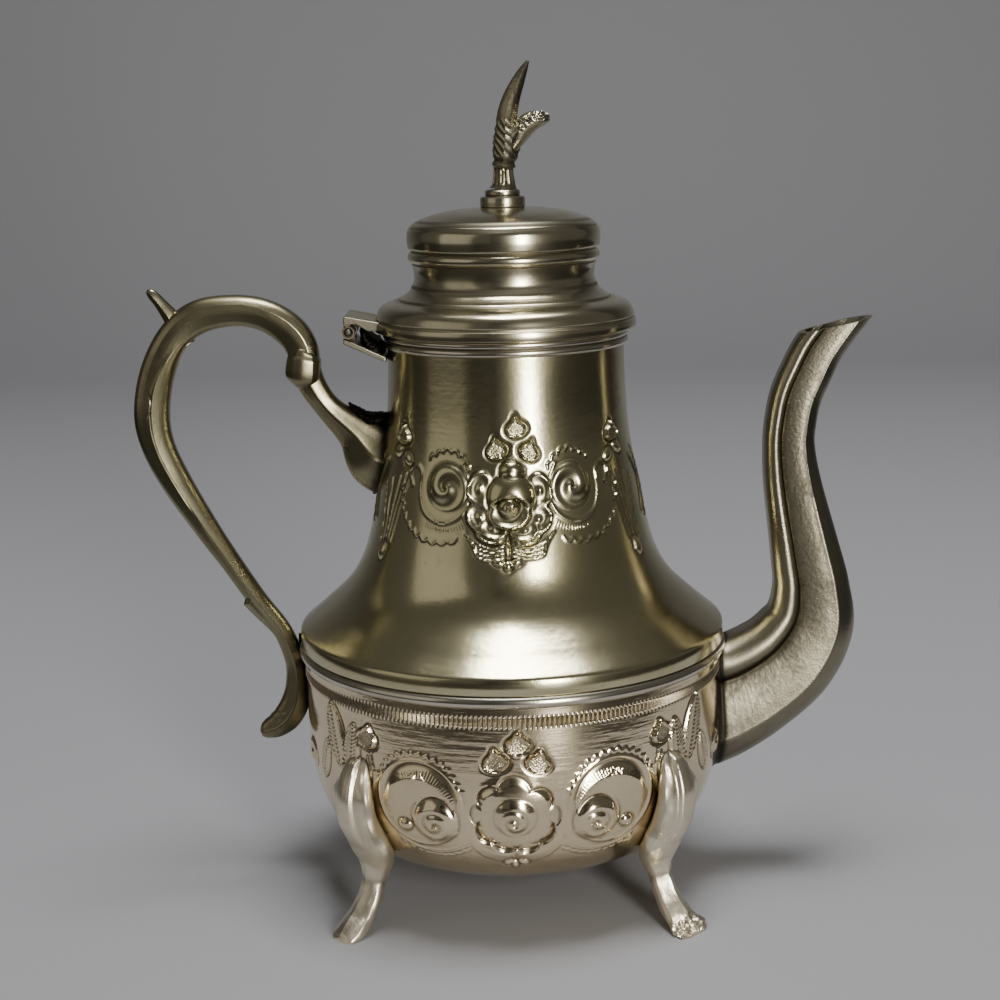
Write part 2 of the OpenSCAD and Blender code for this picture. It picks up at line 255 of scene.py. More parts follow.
    def tarnish(self, strength):
        """How deep each point lies below its surroundings, from 0 to 1."""
        soft = self.lift
        for _ in range(14):
            soft = (soft + np.roll(soft, 1, 0) + np.roll(soft, -1, 0) + np.roll(soft, 1, 1)
                    + np.roll(soft, -1, 1)) / 5
        return np.clip((soft - self.lift - 0.03) * strength + 0.4 * self.punched, 0, 1)


def scallops(path, count, rise):
    """A fringe of small arches standing off a path on its left side."""
    path = evenly(path, 0.25)
    along = np.linspace(0, count, len(path))
    return path - outward(path) * (rise * np.abs(np.sin(np.pi * along)))[:, None]


def mirrored(points, side, steps):
    """A smooth line given for the right half, or its mirror image when side is -1."""
    return smooth([(side * s, z) for s, z in points], steps)


def aged_plate(name, bright, dull, roughness, grain_size, grain_depth, cloud_size=28, spread=0.1,
               streak=0.0):
    """Old silver plate: cloudy tone, uneven gloss, a skin of fine marks, dark dirt in the hollows, and
    painted shade where the tarnish layer holds it.
    """
    material = bpy.data.materials.new(name)
    material.use_nodes = True
    nodes, links = material.node_tree.nodes, material.node_tree.links
    shader = nodes["Principled BSDF"]
    shader.inputs["Metallic"].default_value = 1.0
    where = nodes.new("ShaderNodeTexCoord").outputs["Object"]

    def noise(scale, detail, rough=0.55):
        node = nodes.new("ShaderNodeTexNoise")
        node.inputs["Scale"].default_value = scale
        node.inputs["Detail"].default_value = detail
        node.inputs["Roughness"].default_value = rough
        links.new(where, node.inputs["Vector"])
        return node.outputs["Fac"]

    def attribute(layer_name):
        node = nodes.new("ShaderNodeAttribute")
        node.attribute_name = layer_name
        return node.outputs["Fac"]

    def bump(height, depth, under=None):
        node = nodes.new("ShaderNodeBump")
        node.inputs["Distance"].default_value = depth * mm
        links.new(height, node.inputs["Height"])
        if under:
            links.new(under.outputs["Normal"], node.inputs["Normal"])
        return node

    def remap(value, low, high, out_low, out_high):
        node = nodes.new("ShaderNodeMapRange")
        for socket, number in zip(("From Min", "From Max", "To Min", "To Max"),
                                  (low, high, out_low, out_high)):
            node.inputs[socket].default_value = number
        links.new(value, node.inputs["Value"])
        return node.outputs["Result"]

    def mix(factor, a, b):
        node = nodes.new("ShaderNodeMix")
        node.data_type = "RGBA"
        links.new(factor, node.inputs["Factor"])
        for socket, value in ((node.inputs["A"], a), (node.inputs["B"], b)):
            if isinstance(value, tuple):
                socket.default_value = (*value, 1)
            else:
                links.new(value, socket)
        return node.outputs["Result"]

    clouds = noise(cloud_size, 5)
    specks = noise(cloud_size * 16, 3)
    # The tarnish layer darkens the colour. It is mostly tarnish and dirt in hollows and joints, and on the
    # handle's upper root it is painted shade.
    dirt = attribute("tarnish")
    tone = mix(remap(clouds, 0.35, 0.65, 0, 1), bright, dull)
    tone = mix(remap(specks, 0.62, 0.8, 0, 0.35), tone, tuple(c * 0.55 for c in dull))
    tone = mix(dirt, tone, tuple(c * 0.16 for c in dull))
    links.new(tone, shader.inputs["Base Color"])

    add = nodes.new("ShaderNodeMath")
    links.new(remap(clouds, 0.3, 0.7, roughness, roughness + spread), add.inputs[0])
    links.new(remap(dirt, 0, 1, 0, 0.25), add.inputs[1])
    links.new(add.outputs[0], shader.inputs["Roughness"])

    flattened = nodes.new("ShaderNodeMapping")
    flattened.inputs["Scale"].default_value = (1, 1, 12)
    links.new(where, flattened.inputs["Vector"])
    rings = nodes.new("ShaderNodeTexNoise")
    rings.inputs["Scale"].default_value = 60
    rings.inputs["Detail"].default_value = 3
    links.new(flattened.outputs["Vector"], rings.inputs["Vector"])
    ring_bump = bump(rings.outputs["Fac"], streak)
    grain_bump = bump(noise(1 / (grain_size * mm), 4, 0.6), grain_depth, ring_bump)
    pricks = nodes.new("ShaderNodeTexVoronoi")
    prick_size = 0.5
    pricks.inputs["Scale"].default_value = 1 / (prick_size * mm)
    links.new(where, pricks.inputs["Vector"])
    prick_bump = bump(pricks.outputs["Distance"], 0.14, grain_bump)
    links.new(attribute("punched"), prick_bump.inputs["Strength"])
    links.new(prick_bump.outputs["Normal"], shader.inputs["Normal"])
    return material


bowl_low, bowl_high = box_mm("bowl")
belly_r = bowl_high[0]
sheet_t = 1.2
belly_curve = smooth([(20, 0), (33, 2), (44, 5.6), (belly_r - 11.7, 11), (belly_r - 5.6, 18.2),
                      (belly_r - 2.2, 26.4), (belly_r - 0.4, 37), (belly_r, 46)], 8) + (0, bowl_low[2])
bowl_side = evenly(np.vstack([belly_curve, [(belly_r, bowl_high[2])]]), 0.36)
bowl_columns = 1152
climb = run_along(bowl_side)
bowl_chart_z = bowl_high[2] - (climb[-1] - climb)

quarter = 2 * np.pi * belly_r / 4
around = (np.arange(bowl_columns // 2) / (bowl_columns / 2) * 2 - 1) * quarter
chart = Chasing(around, bowl_chart_z)
chart.mound(-0.4, 42.4, 14.5, 7, 1.2)
chart.boss(-0.2, 42.6, 7.2, 6.9, 2.55, 0, 0.0)
for hs, hz, size, turn, depth in [
        (-7.0, 48.0, 4.6, 44, 1.3), (7.0, 47.6, 4.4, -46, 1.3), (-0.4, 50.6, 5.4, 2, 0.8),
        (-9.6, 43.2, 4.6, 92, 0.7), (9.4, 42.4, 4.6, -92, 0.7), (-7.4, 37.8, 5.2, 124, 1.3),
        (7.0, 37.4, 5.2, -126, 1.3), (-3.0, 34.6, 5.0, 160, 1.2), (3.4, 34.2, 5.0, -162, 1.2)]:
    chart.crescent(hs, hz, size, turn, depth)
chart.coil(-0.5, 41.2, 4.8, 2.1, 0.55, 200, 1, 0.45)
for ls, lz, turn in [(-5.4, 59.3, 14), (6.7, 58.8, -14), (1.0, 64.4, 2)]:
    chart.onion_leaf(ls, lz, 3.5, turn, 0.85)
for side in (-1, 1):
    for k in range(4):
        swag = mirrored([(13.8, 35.6 - 1.05 * k), (10, 31.2 - 0.95 * k), (5, 28.8 - 0.8 * k),
                         (0.9, 28.9 - 0.75 * k)], side, 8)
        chart.ridge(swag, 0.3, 0.26)
    chart.boss(side * 2.4, 25.4, 1.9, 1.2, 0.7, side * -25)
chart.boss(-0.4, 24.0, 1.2, 2.0, 0.9)


def bowl_scroll(side):
    """A comma-shaped coil held in a wide curl, combed inside its back and fringed outside."""
    swing = np.radians(np.linspace(322, -6, 110))
    grow = np.linspace(1, 0, 110)
    curl = np.stack([side * (29.6 - (13.4 + 0.8 * grow) * np.cos(swing)),
                     45.2 + (13.2 + 0.6 * grow) * np.sin(swing)], 1)
    chart.ridge(curl, 0.6, 0.45)
    chart.crescent(side * 29.6, 45.6, 12.4, side * 4, 1.3, 0.42)
    comb_span = (56, 172) if side > 0 else (8, 124)
    chart.comb(side * 29.6, 44.0, 7.6, 11.4, *comb_span, 0.85, 0.16)
    chart.boss(side * 24.8, 40.2, 7.6, 7.3, 2.0, side * 20, 0.08)
    chart.crescent(side * 24.8, 41.0, 6.8, side * -8, 1.2, 0.5)
    chart.coil(side * 24.6, 38.8, 5.0, 1.5, 0.75, 75, side, 0.5)
    chart.boss(side * 35.2, 37.2, 2.4, 2.1, 1.2)
    fringe = mirrored([(43.8, 52.6), (38.6, 58.6), (29.6, 61.0), (20.4, 58.0), (15.2, 50.2)], side, 14)
    chart.ridge(scallops(fringe, 14, side * 1.1), 0.28, 0.35)
    for k in range(3):
        under = mirrored([(14.4, 33.6 - 1.1 * k), (22, 29.8 - 0.9 * k), (31, 29.4 - 0.6 * k),
                          (38, 32.6 - 0.4 * k)], side, 12)
        chart.ridge(scallops(under, 9, side * -0.8) if k == 2 else under, 0.28, 0.28)


def bowl_side_leaves(side):
    """The leaf spray that rises behind each foot."""
    chart.veined_leaf(side * 62.5, 60.0, 4.4, 10.5, side * -14, 1.1)
    chart.veined_leaf(side * 54.5, 57.0, 3.6, 9.0, side * 8, 1.0)
    chart.onion_leaf(side * 47.6, 62.0, 3.6, side * 10, 0.9)
    for k in range(3):
        stalk = mirrored([(46.2 + 1.3 * k, 57.5 - 1.2 * k), (45 + 1.5 * k, 51), (47 + 1.2 * k, 44)],
                         side, 8)
        chart.ridge(stalk, 0.34, 0.4)
    chart.veined_leaf(side * 70.5, 50.0, 2.8, 8.0, side * 22, 0.9)
    chart.boss(side * 84.0, 48.0, 4.6, 4.6, 0.9)
    chart.coil(side * 84.0, 48.0, 4.4, 1.3, 0.6, 0, side, 0.4)


for side in (-1, 1):
    bowl_scroll(side)
    bowl_side_leaves(side)
# A band of short upright strokes runs right round below the girdle.
strokes = 288
stroke_mid = bowl_high[2] - 12.4
stroke_band = np.clip((1.9 - np.abs(bowl_chart_z - stroke_mid)) / 0.5, 0, 1)[:, None]
stroke_wave = np.cos(np.arange(bowl_columns) / bowl_columns * 2 * np.pi * strokes)
stroke_wave = np.roll(stroke_wave, bowl_columns // 2)
# The chart is half the way round, so the second copy is the front and the first is the back.
lift = np.tile(chart.lift, 2) + 0.28 * stroke_band * stroke_wave
dirt = np.clip(np.tile(chart.tarnish(2.6), 2) + 0.35 * stroke_band * (stroke_wave < 0), 0, 1)

bowl_inside = bowl_side[::-8] - outward(bowl_side)[::-8] * sheet_t
bowl_points = np.concatenate([turned(bowl_side, bowl_columns, lift), turned(bowl_inside, bowl_columns)])
inner_dirt = np.full((len(bowl_inside), bowl_columns), 0.3)
bowl_dirt = np.concatenate([dirt, inner_dirt])
bowl_punched = np.concatenate([np.tile(chart.punched, 2), np.zeros_like(inner_dirt)])
silver_bowl = aged_plate("silver_bowl", (0.93, 0.79, 0.55), (0.79, 0.66, 0.44), 0.08, 2.6, 0.03,
                         28, 0.08, 0.07)
stained_inside = aged_plate("stained_inside", (0.42, 0.36, 0.27), (0.24, 0.19, 0.13), 0.38, 1.5, 0.05)
bowl = piece_from("chased_bowl", bowl_points, grid_faces(len(bowl_points), bowl_columns, caps=True),
                  silver_bowl, 60, bowl_dirt, bowl_punched)
bowl.data.materials.append(stained_inside)
inner_face = np.zeros(len(bowl.data.polygons), np.int32)
inner_face[(len(bowl_side) - 1) * bowl_columns:-2] = 1
inner_face[-1] = 1
bowl.data.polygons.foreach_set("material_index", inner_face)
# Thirteen strainer holes are drilled through the wall where the spout will cover them.
hole_r, hole_gap, row_gap, strainer_z = 1.5, 5, 4.6, 58
sides = 24
hole_angle = np.radians(np.arange(sides) * 360 / sides)
drill_points, drill_faces = [], []
for row in range(-2, 3):
    for column in range(-1, 2 - row % 2):
        hole_y, hole_z = hole_gap * (column + (row % 2) / 2), strainer_z + row_gap * row
        first = len(drill_points)
        rim = [(hole_y + hole_r * math.cos(a), hole_z + hole_r * math.sin(a)) for a in hole_angle]
        drill_points += [(x * mm, y * mm, z * mm) for x in (belly_r - 5, belly_r + 5) for y, z in rim]
        near, far = (first + np.arange(2 * sides).reshape(2, sides)).tolist()
        drill_faces += [near[::-1], far]
        drill_faces += [[near[k - 1], near[k], far[k], far[k - 1]] for k in range(sides)]
drills = placed("drills", mesh_of("drills", drill_points, drill_faces, stained_inside))
drilling = bowl.modifiers.new("strainer", "BOOLEAN")
drilling.solver = "MANIFOLD"
drilling.object = drills
bpy.context.view_layer.update()
drilled = bpy.data.meshes.new_from_object(bowl.evaluated_get(bpy.context.evaluated_depsgraph_get()))
bowl.modifiers.clear()
bowl.data = drilled
bpy.data.objects.remove(drills)
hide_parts("bowl")
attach(bowl, "pot")


# ---- Shoulder and neck ----
# A second disc is raised into the shoulder and the long waisted neck. Its skirt slips over the bowl's
# rim. The neck carries the same rose, trefoil and scrolls as the bowl, bossed a little deeper.
shell_low, shell_high = box_mm("shoulder_shell")
skirt_r = shell_high[0]
mouth_z = shell_high[2]
neck_r = box_mm("neck_rim")[1][0] - 1.4
crease_z = shell_low[2] + 4.9
neck_curve = smooth([(skirt_r - 0.7, crease_z + 0.6), (belly_r - 5.9, 90.4), (belly_r - 14.1, 98.2),
                     (belly_r - 19.1, 106.3), (belly_r - 22.3, 116.3), (neck_r + 4.4, 128.5),
                     (neck_r + 2, 141.2), (neck_r + 0.8, 152), (neck_r + 0.2, 163), (neck_r, 172),
                     (neck_r, mouth_z)], 10)
skirt = np.array([(skirt_r - 0.3, shell_low[2]), (skirt_r, shell_low[2] + 0.4), (skirt_r, crease_z - 0.4),
                  (skirt_r - 0.25, crease_z + 0.15)])
neck_side = np.vstack([skirt, evenly(neck_curve, 0.42)])
neck_columns = 768
neck_chart_r = 40.5
half_round = np.pi * neck_chart_r
chart = Chasing((np.arange(neck_columns // 2) / (neck_columns / 2) - 0.5) * half_round, neck_side[:, 1])
for bs, bz, rs, rz, rise, turn in [
        (-5.4, 121.4, 4.8, 3.0, 1.5, 165), (4.8, 120.8, 4.8, 3.0, 1.5, -165),
        (-8.6, 134.4, 5.4, 4.0, 2.0, 80), (9.1, 133.6, 5.4, 4.0, 2.0, -80),
        (-8.3, 126.2, 5.0, 4.2, 2.1, 122), (8.2, 125.4, 5.0, 4.2, 2.1, -124),
        (-4.6, 123.0, 4.6, 3.4, 2.0, 164), (4.2, 122.4, 4.6, 3.4, 2.0, -164)]:
    chart.petal(bs, bz, rs, rz, rise, turn)
chart.boss(0.9, 139.2, 3.8, 3.3, 2.0)
chart.boss(0.5, 132.0, 6.9, 6.7, 2.7)
chart.petal(0.0, 127.0, 6.6, 4.8, 2.6, 184)
chart.boss(0.1, 129.2, 3.5, 3.2, 2.6, 0, 0.1)
chart.coil(0.1, 129.2, 3.5, 1.1, 0.8, 180, 1, 0.6)
for ls, lz, size, turn in [(-3.4, 145.2, 3.2, 14), (6.4, 144.6, 3.1, -20), (2.7, 151.4, 3.2, 8)]:
    chart.onion_leaf(ls, lz, size, turn, 1.0)
for side in (-1, 1):
    for k in range(4):
        swag = mirrored([(12.8 - 0.9 * k, 121.4 - 1.2 * k), (9, 118.4 - 1.2 * k),
                         (4.8, 117.2 - 1.1 * k), (0.9, 118.2 - 1.1 * k)], side, 8)
        chart.ridge(swag, 0.3, 0.5)
    chart.boss(side * 2.3 - 0.7, 113.2, 2.0, 1.1, 0.8, side * 24)
chart.boss(-0.7, 116.6, 0.8, 2.8, 1.0)
chart.boss(-0.7, 112.2, 1.3, 1.5, 0.9)


def neck_scroll(side):
    """A rolled coil held in a wide open curl, with combing and two runs of fringe."""
    chart.boss(side * 19.4, 134.2, 7.0, 6.8, 0.7, side * 15, 0.1)
    chart.coil(side * 19.4, 134.2, 7.0, 1.35, 0.95, 20, side, 0.4)
    curl = mirrored([(14.6, 141.2), (11.9, 134.4), (13.8, 127.2), (19.8, 123.8), (26.2, 126.2),
                     (28.9, 132), (28.9, 137.6), (31.2, 139.8), (33.8, 137.6), (32.4, 134)], side, 9)
    chart.ridge(curl, 0.42, 0.4)
    comb_span = (196, 300) if side > 0 else (240, 344)
    chart.comb(side * 20.2, 133.6, 10.8, 12.8, *comb_span, 0.9, 0.12)
    over = mirrored([(12.2, 139.6), (15.4, 143.4), (20.4, 144.6), (26, 142)], side, 12)
    chart.ridge(scallops(over, 6, side), 0.28, 0.36)
    under = mirrored([(36.4, 134), (34.4, 126), (28.8, 120.4), (22, 118.6), (15.4, 119.6)], side, 12)
    chart.ridge(scallops(under, 10, side), 0.28, 0.34)


def neck_pendant(side):
    """The hanging spray of narrow leaves beside the scroll, with a bossed drop at its foot."""
    for k, (top_s, foot_s) in enumerate([(33.5, 40), (36, 41.5), (39, 42.6), (43.4, 44), (47.6, 45.4)]):
        leaf = mirrored([(top_s, 138 - 1.1 * k), (top_s * 0.4 + foot_s * 0.6, 126), (foot_s, 115.4)],
                        side, 8)
        chart.ridge(leaf, 0.4, 0.4)
    chart.boss(side * 43, 112.6, 1.9, 2.9, 1.1, side * 12)
    chart.boss(side * 36, 141.4, 2.6, 1.8, 0.9, side * 35)
    chart.boss(side * 41.4, 143, 2.6, 1.8, 0.9, side * -35)
    chart.onion_leaf(side * 38.8, 147.4, 2.9, 0, 0.8)
    chart.ridge(mirrored([(50, 139), (55, 131), (53, 121)], side, 10), 0.45, 0.5)
    edging = mirrored([(53, 141), (58.5, 131), (56, 119)], side, 12)
    chart.ridge(scallops(edging, 9, side), 0.3, 0.4)


for side in (-1, 1):
    neck_scroll(side)
    neck_pendant(side)
neck_inside = neck_side[::-6] - outward(neck_side)[::-6] * sheet_t
neck_inside = neck_inside[neck_inside[:, 1] > crease_z - 0.6]
skirt_inside = np.array([(belly_r, crease_z - 0.5), (belly_r, shell_low[2])])
neck_points = np.concatenate([turned(neck_side, neck_columns, np.tile(chart.lift, 2)),
                              turned(neck_inside, neck_columns), turned(skirt_inside, neck_columns)])
inner_dirt = np.full((len(neck_inside) + len(skirt_inside), neck_columns), 0.3)
neck_dirt = np.concatenate([np.tile(chart.tarnish(4.5), 2), inner_dirt])
neck_punched = np.concatenate([np.tile(chart.punched, 2), np.zeros_like(inner_dirt)])
silver_neck = aged_plate("silver_neck", (0.68, 0.62, 0.40), (0.52, 0.47, 0.28), 0.15, 2.4, 0.035,
                         28, 0.09, 0.015)
neck = piece_from("chased_neck", neck_points, grid_faces(len(neck_points), neck_columns, closed_rows=True),
                  silver_neck, 50, neck_dirt, neck_punched)
neck.data.materials.append(stained_inside)
inner_face = np.zeros(len(neck.data.polygons), np.int32)
inner_face[len(neck_side) * neck_columns:] = 1
neck.data.polygons.foreach_set("material_index", inner_face)
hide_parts("shoulder_shell")
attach(neck, "pot")


# ---- Girdle bead and neck rim ----
# A half-round wire is soldered round the bowl just below the shoulder, and two turned rings stiffen the
# mouth. They are drawn brass, plated with the rest, and polished on their crowns.
def arc(cx, cz, r, start, end, steps):
    """Points of a round stretch of a profile, with its angles in degrees."""
    angles = np.radians(np.linspace(start, end, steps))
    return [(cx + r * math.cos(a), cz + r * math.sin(a)) for a in angles]


def ring_of(name, line, material, columns=320, dirt=None, crease=35):
    """A closed revolve about the pot's axis; dirt is one value for each point of the line."""
    line = np.array(line, float)
    stain = None if dirt is None else np.repeat(np.asarray(dirt, float)[:, None], columns, 1)
    return piece_from(name, turned(line, columns), grid_faces(len(line), columns, closed_rows=True),
                      material, crease, stain)


def near_heights(line, heights, reach, strength):
    """Dirt that gathers along the line close to some heights."""
    gap = np.min(np.abs(np.array(line)[:, 1:2] - np.array(heights)), axis=1)
    return strength * np.exp(-((gap / reach) ** 2))


bead_low, bead_high = box_mm("girdle_bead")
bead_r = (bead_high[2] - bead_low[2]) / 2
bead_z = bead_low[2] + bead_r
bead_line = (arc(belly_r, bead_z, bead_r, -90, 90, 20)
             + [(belly_r - 0.3, bead_high[2]), (belly_r - 0.3, bead_low[2])])
polished_wire = aged_plate("polished_wire", (0.74, 0.69, 0.58), (0.58, 0.53, 0.42), 0.15, 1.6, 0.012)
girdle = ring_of("girdle_wire", bead_line, polished_wire,
                 dirt=near_heights(bead_line, (bead_low[2], bead_high[2]), 0.7, 0.9))
rim_line = ([(neck_r - 0.3, 172.3), (neck_r, 172.3)] + arc(neck_r + 0.1, 173.5, 1.3, -60, 60, 12)
            + arc(neck_r + 0.3, 175.8, 1.1, -60, 65, 12) + [(neck_r, mouth_z), (neck_r - 0.3, mouth_z)])
mouth_rings = ring_of("mouth_rings", rim_line, polished_wire,
                      dirt=near_heights(rim_line, (172.2, 174.75), 0.4, 0.9))
for ring, node in ((girdle, "girdle_bead"), (mouth_rings, "neck_rim")):
    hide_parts(node)
    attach(ring, "pot")


# ---- Spout ----
# The swan-neck spout is one hollow sand casting, left grainy on its broad side faces and filed smooth
# along its inner roll. Its root is fitted to the bowl and soft soldered, and its mouth is cut on a slant.
def half_section(*parts):
    """One side of a section from +1 to -1; each part is (count, points) and meets the next at an edge."""
    run = []
    for count, points in parts:
        curve = smooth(points, 12)
        length = run_along(curve)
        at = np.linspace(0, length[-1], count, endpoint=False)
        run.append(np.stack([np.interp(at, length, curve[:, i]) for i in (0, 1)], 1))
    return np.vstack(run + [np.array([parts[-1][1][-1]], float)])


def both_sides(half):
    """The whole ring, near side first."""
    return np.vstack([half[:-1] * (1, -1), half[:0:-1]])


def swept(line, ring, lift=0):
    """The ring carried along a line of x, z, half size in the bend and half size across it."""
    d = heading(line)
    ring = np.broadcast_to(ring, (len(line),) + ring.shape[-2:])
    size = np.linalg.norm(ring, axis=2)
    u = line[:, 2:3] * ring[..., 0] + lift * ring[..., 0] / size
    v = line[:, 3:4] * ring[..., 1] + lift * ring[..., 1] / size
    return np.stack([line[:, :1] - d[:, 1:] * u, v, line[:, 1:2] + d[:, :1] * u], -1)


def between(points, start, stop, rows):
    """Each column of a swept skin resampled evenly between two fractional rows."""
    out = np.empty((rows,) + points.shape[1:])
    index = np.arange(len(points))
    for k in range(points.shape[1]):
        at = np.linspace(start[k], stop[k], rows)
        for axis in range(3):
            out[:, k, axis] = np.interp(at, index, points[:, k, axis])
    return out


def first_crossing(value):
    """The fractional row of each column where value first turns positive."""
    row = np.argmax(value > 0, axis=0)
    row = np.clip(row, 1, len(value) - 1)
    k = np.arange(value.shape[1])
    low, high = value[row - 1, k], value[row, k]
    return row - 1 + np.clip(-low / np.where(high == low, 1, high - low), 0, 1)


def grain(shape, seed, passes=1):
    """Random pitting of unit depth, softened a little."""
    pits = np.random.default_rng(seed).normal(size=shape)
    for _ in range(passes):
        pits = (pits * 2 + np.roll(pits, 1, 0) + np.roll(pits, -1, 0) + np.roll(pits, 1, 1)
                + np.roll(pits, -1, 1)) / 6
    return np.clip(pits / pits.std(), -2.2, 2.2)


wall = np.vstack([bowl_side[bowl_side[:, 1] < bead_z - bead_r],
                  arc(belly_r, bead_z, bead_r, -90, 90, 12),
                  [(skirt_r, shell_low[2] + 0.01), (skirt_r, crease_z)], neck_side[4:]])
wall = wall[np.argsort(wall[:, 1], kind="stable")]


def off_the_pot(points):
    """How far each point stands off the pot's outer surface, measured level."""
    return np.hypot(points[..., 0], points[..., 1]) - np.interp(points[..., 2], wall[:, 1], wall[:, 0])


def held_at_wall(points, depth=0.5):
    """The same points, none deeper in the pot than depth, and how far each stood off the pot."""
    gap = off_the_pot(points)
    reach = np.maximum(np.hypot(points[..., 0], points[..., 1]), 1)
    squeeze = np.where(gap < -depth, (reach - gap - depth) / reach, 1)
    return points * np.stack([squeeze, squeeze, np.ones_like(squeeze)], -1), gap


spout_t = 1.3
spout_path = smooth([(56, 55, 23, 14), (66, 57, 20.5, 13), (76.5, 61.5, 18, 12.4), (87.6, 69.8, 16.4, 11.6),
                     (94.4, 80.8, 14.6, 10.4), (95.2, 92.6, 12.2, 9.4), (93.2, 104.6, 10.9, 8.5),
                     (89.2, 125, 9.1, 7.5), (87.7, 138, 8.1, 7.1), (88.2, 146, 8, 7), (89.8, 154, 8, 6.9),
                     (92.8, 161.1, 8, 6.8), (95.7, 167.2, 7.8, 6.6), (99.5, 172.8, 7.5, 6.5),
                     (105.8, 181.3, 7.5, 6.3), (111.6, 188.8, 7.6, 6.2)], 8)
inner_roll = (22, [(1, 0), (0.98, 0.38), (0.85, 0.68), (0.66, 0.82), (0.5, 0.80), (0.38, 0.68)])
grainy_side = (28, [(0.38, 0.68), (0.32, 0.82), (0.05, 0.92), (-0.25, 0.98), (-0.52, 0.99)])
outer_facet = (14, [(-0.52, 0.99), (-0.8, 0.68), (-0.96, 0.34), (-1, 0)])
spout_half = half_section(inner_roll, grainy_side, outer_facet)
spout_ring = both_sides(spout_half)
spout_columns = len(spout_ring)
mouth_slope = 4.2 / 19.3


def past_mouth(points):
    """How far each point stands above the slanting plane of the mouth."""
    return points[..., 2] - 173.9 - mouth_slope * (points[..., 0] - 92.4)


def from_inner_roll(columns):
    """How many columns each one stands from the ring's first, round either side."""
    return columns / 2 - np.abs(np.arange(columns) - columns / 2)


skin = swept(spout_path, spout_ring)
spout_rows = 400
outer_skin = between(skin, first_crossing(off_the_pot(skin) + 0.6), first_crossing(past_mouth(skin)),
                     spout_rows)
column = from_inner_roll(spout_columns)
row_mm = np.linspace(0, 205, spout_rows)[:, None]
grainy = np.clip((column - 22.5) / 2, 0, 1) * np.clip((51 - column) / 3, 0, 1)
centre = outer_skin.mean(1, keepdims=True)
outside = outer_skin - centre
outside /= np.linalg.norm(outside, axis=2, keepdims=True)
fade = np.clip((row_mm - 3) / 6, 0, 1)
spout_lift = (0.013 * grain((spout_rows, spout_columns), 5) * grainy * fade
              + 0.003 * grain((spout_rows, spout_columns), 6, 3)
              - 0.28 * np.exp(-(((column - 22) / 1.3) ** 2))
              + 0.12 * np.exp(-(((column - 50) / 1.6) ** 2))
              + 0.9 * np.exp(-((row_mm / 1.5) ** 2)) - 0.3 * np.exp(-(((row_mm - 3.2) / 0.8) ** 2)))
outer_skin = outer_skin + outside * spout_lift[..., None]
bore = swept(spout_path - (0, 0, spout_t, spout_t), spout_ring)
inner_rows = 90
inner_skin = between(bore, first_crossing(off_the_pot(bore) + 1.0), first_crossing(past_mouth(bore)),
                     inner_rows)[::-1]
lip = outer_skin[-1:] * 0.55 + inner_skin[:1] * 0.45 + (0, 0, 0.12)
spout_points = np.concatenate([outer_skin, lip, inner_skin])
# Random patches over the grainy face, with a darker band along it near its inner edge.
patches = np.clip(0.16 * grain((spout_rows, spout_columns), 8, 120)
                  + 0.12 * grain((spout_rows, spout_columns), 9)
                  + 0.3 * np.exp(-(((column - 27) / 6) ** 2)), 0, 0.8)
spout_dirt = (0.85 * np.exp(-(((column - 22) / 1.1) ** 2)) + 0.2 * grainy + patches * grainy
              + 0.95 * np.exp(-(((row_mm - 3.0) / 1.6) ** 2)) + 0.5 * np.exp(-((row_mm / 5) ** 2)))
inside_dirt = np.full((len(lip) + inner_rows, spout_columns), 0.55)
inside_dirt[:6] = 0.2
grainy_cast = aged_plate("grainy_cast", (0.33, 0.30, 0.215), (0.21, 0.19, 0.135), 0.26, 0.7, 0.07, 40, 0.12)
spout = piece_from("swan_neck_spout", spout_points,
                   grid_faces(len(spout_points), spout_columns, closed_rows=True), grainy_cast, 48,
                   np.concatenate([np.clip(spout_dirt, 0, 1), inside_dirt]))
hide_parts("spout")
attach(spout, "pot")


# ---- Handle ----
# The loop handle is a solid casting with a filed ridge down each side, a folded leaf bud under its bend,
# a thumb spur and a curled tail. It is soldered to the neck and the belly, with dark flux left round it.
handle_path = smooth([(-34, 138, 15.5, 8.5), (-41, 139, 11.5, 7), (-47.4, 145.6, 6.4, 5.4),
                      (-54.9, 152.7, 4.2, 4.4), (-59.4, 159, 4.2, 4.6), (-62, 165.6, 4.7, 4.9),
                      (-62.9, 172.3, 4.9, 4.8),
                      (-66.6, 177.8, 5.1, 4.6), (-73.6, 182.4, 4.9, 4.6), (-83, 184.2, 4.8, 4.6),
                      (-94.4, 182.4, 5.2, 4.6), (-102.6, 176.1, 5, 4.6), (-108.2, 164.9, 5.4, 4.8),
                      (-110.5, 152.5, 5.6, 4.9), (-109.1, 142.1, 5.2, 4.7), (-104, 130.5, 4.8, 4.6),
                      (-95.5, 115.8, 3.9, 4.2), (-88.4, 104.6, 3.3, 3.8), (-80.4, 92, 3.1, 3.6),
                      (-73.4, 82.2, 3, 3.6), (-69.7, 72.2, 3.2, 3.8), (-69.1, 64.6, 3.8, 4.1),
                      (-69.9, 58.6, 4.5, 4.2), (-72.6, 53.5, 4.6, 4), (-76.4, 50.3, 4, 3.7),
                      (-79.8, 49, 3, 3), (-81.4, 48.8, 1.9, 2), (-81.9, 48.8, 0.5, 0.5)], 10)
handle_step = 0.62
handle_path = evenly(handle_path, handle_step)
handle_run = np.arange(len(handle_path)) * handle_step
bend_half = half_section((16, [(1, 0), (0.98, 0.42), (0.84, 0.7), (0.64, 0.82)]),
                         (20, [(0.64, 0.82), (0.1, 0.95), (-0.42, 0.95)]),
                         (18, [(-0.42, 0.95), (-0.78, 0.68), (-0.97, 0.34), (-1, 0)]))
shank_half = half_section((16, [(1, 0), (0.94, 0.36), (0.64, 0.68), (0.12, 1.0)]),
                          (20, [(0.12, 1.0), (-0.02, 0.84), (-0.42, 0.72)]),
                          (18, [(-0.42, 0.72), (-0.74, 0.58), (-0.95, 0.3), (-1, 0)]))


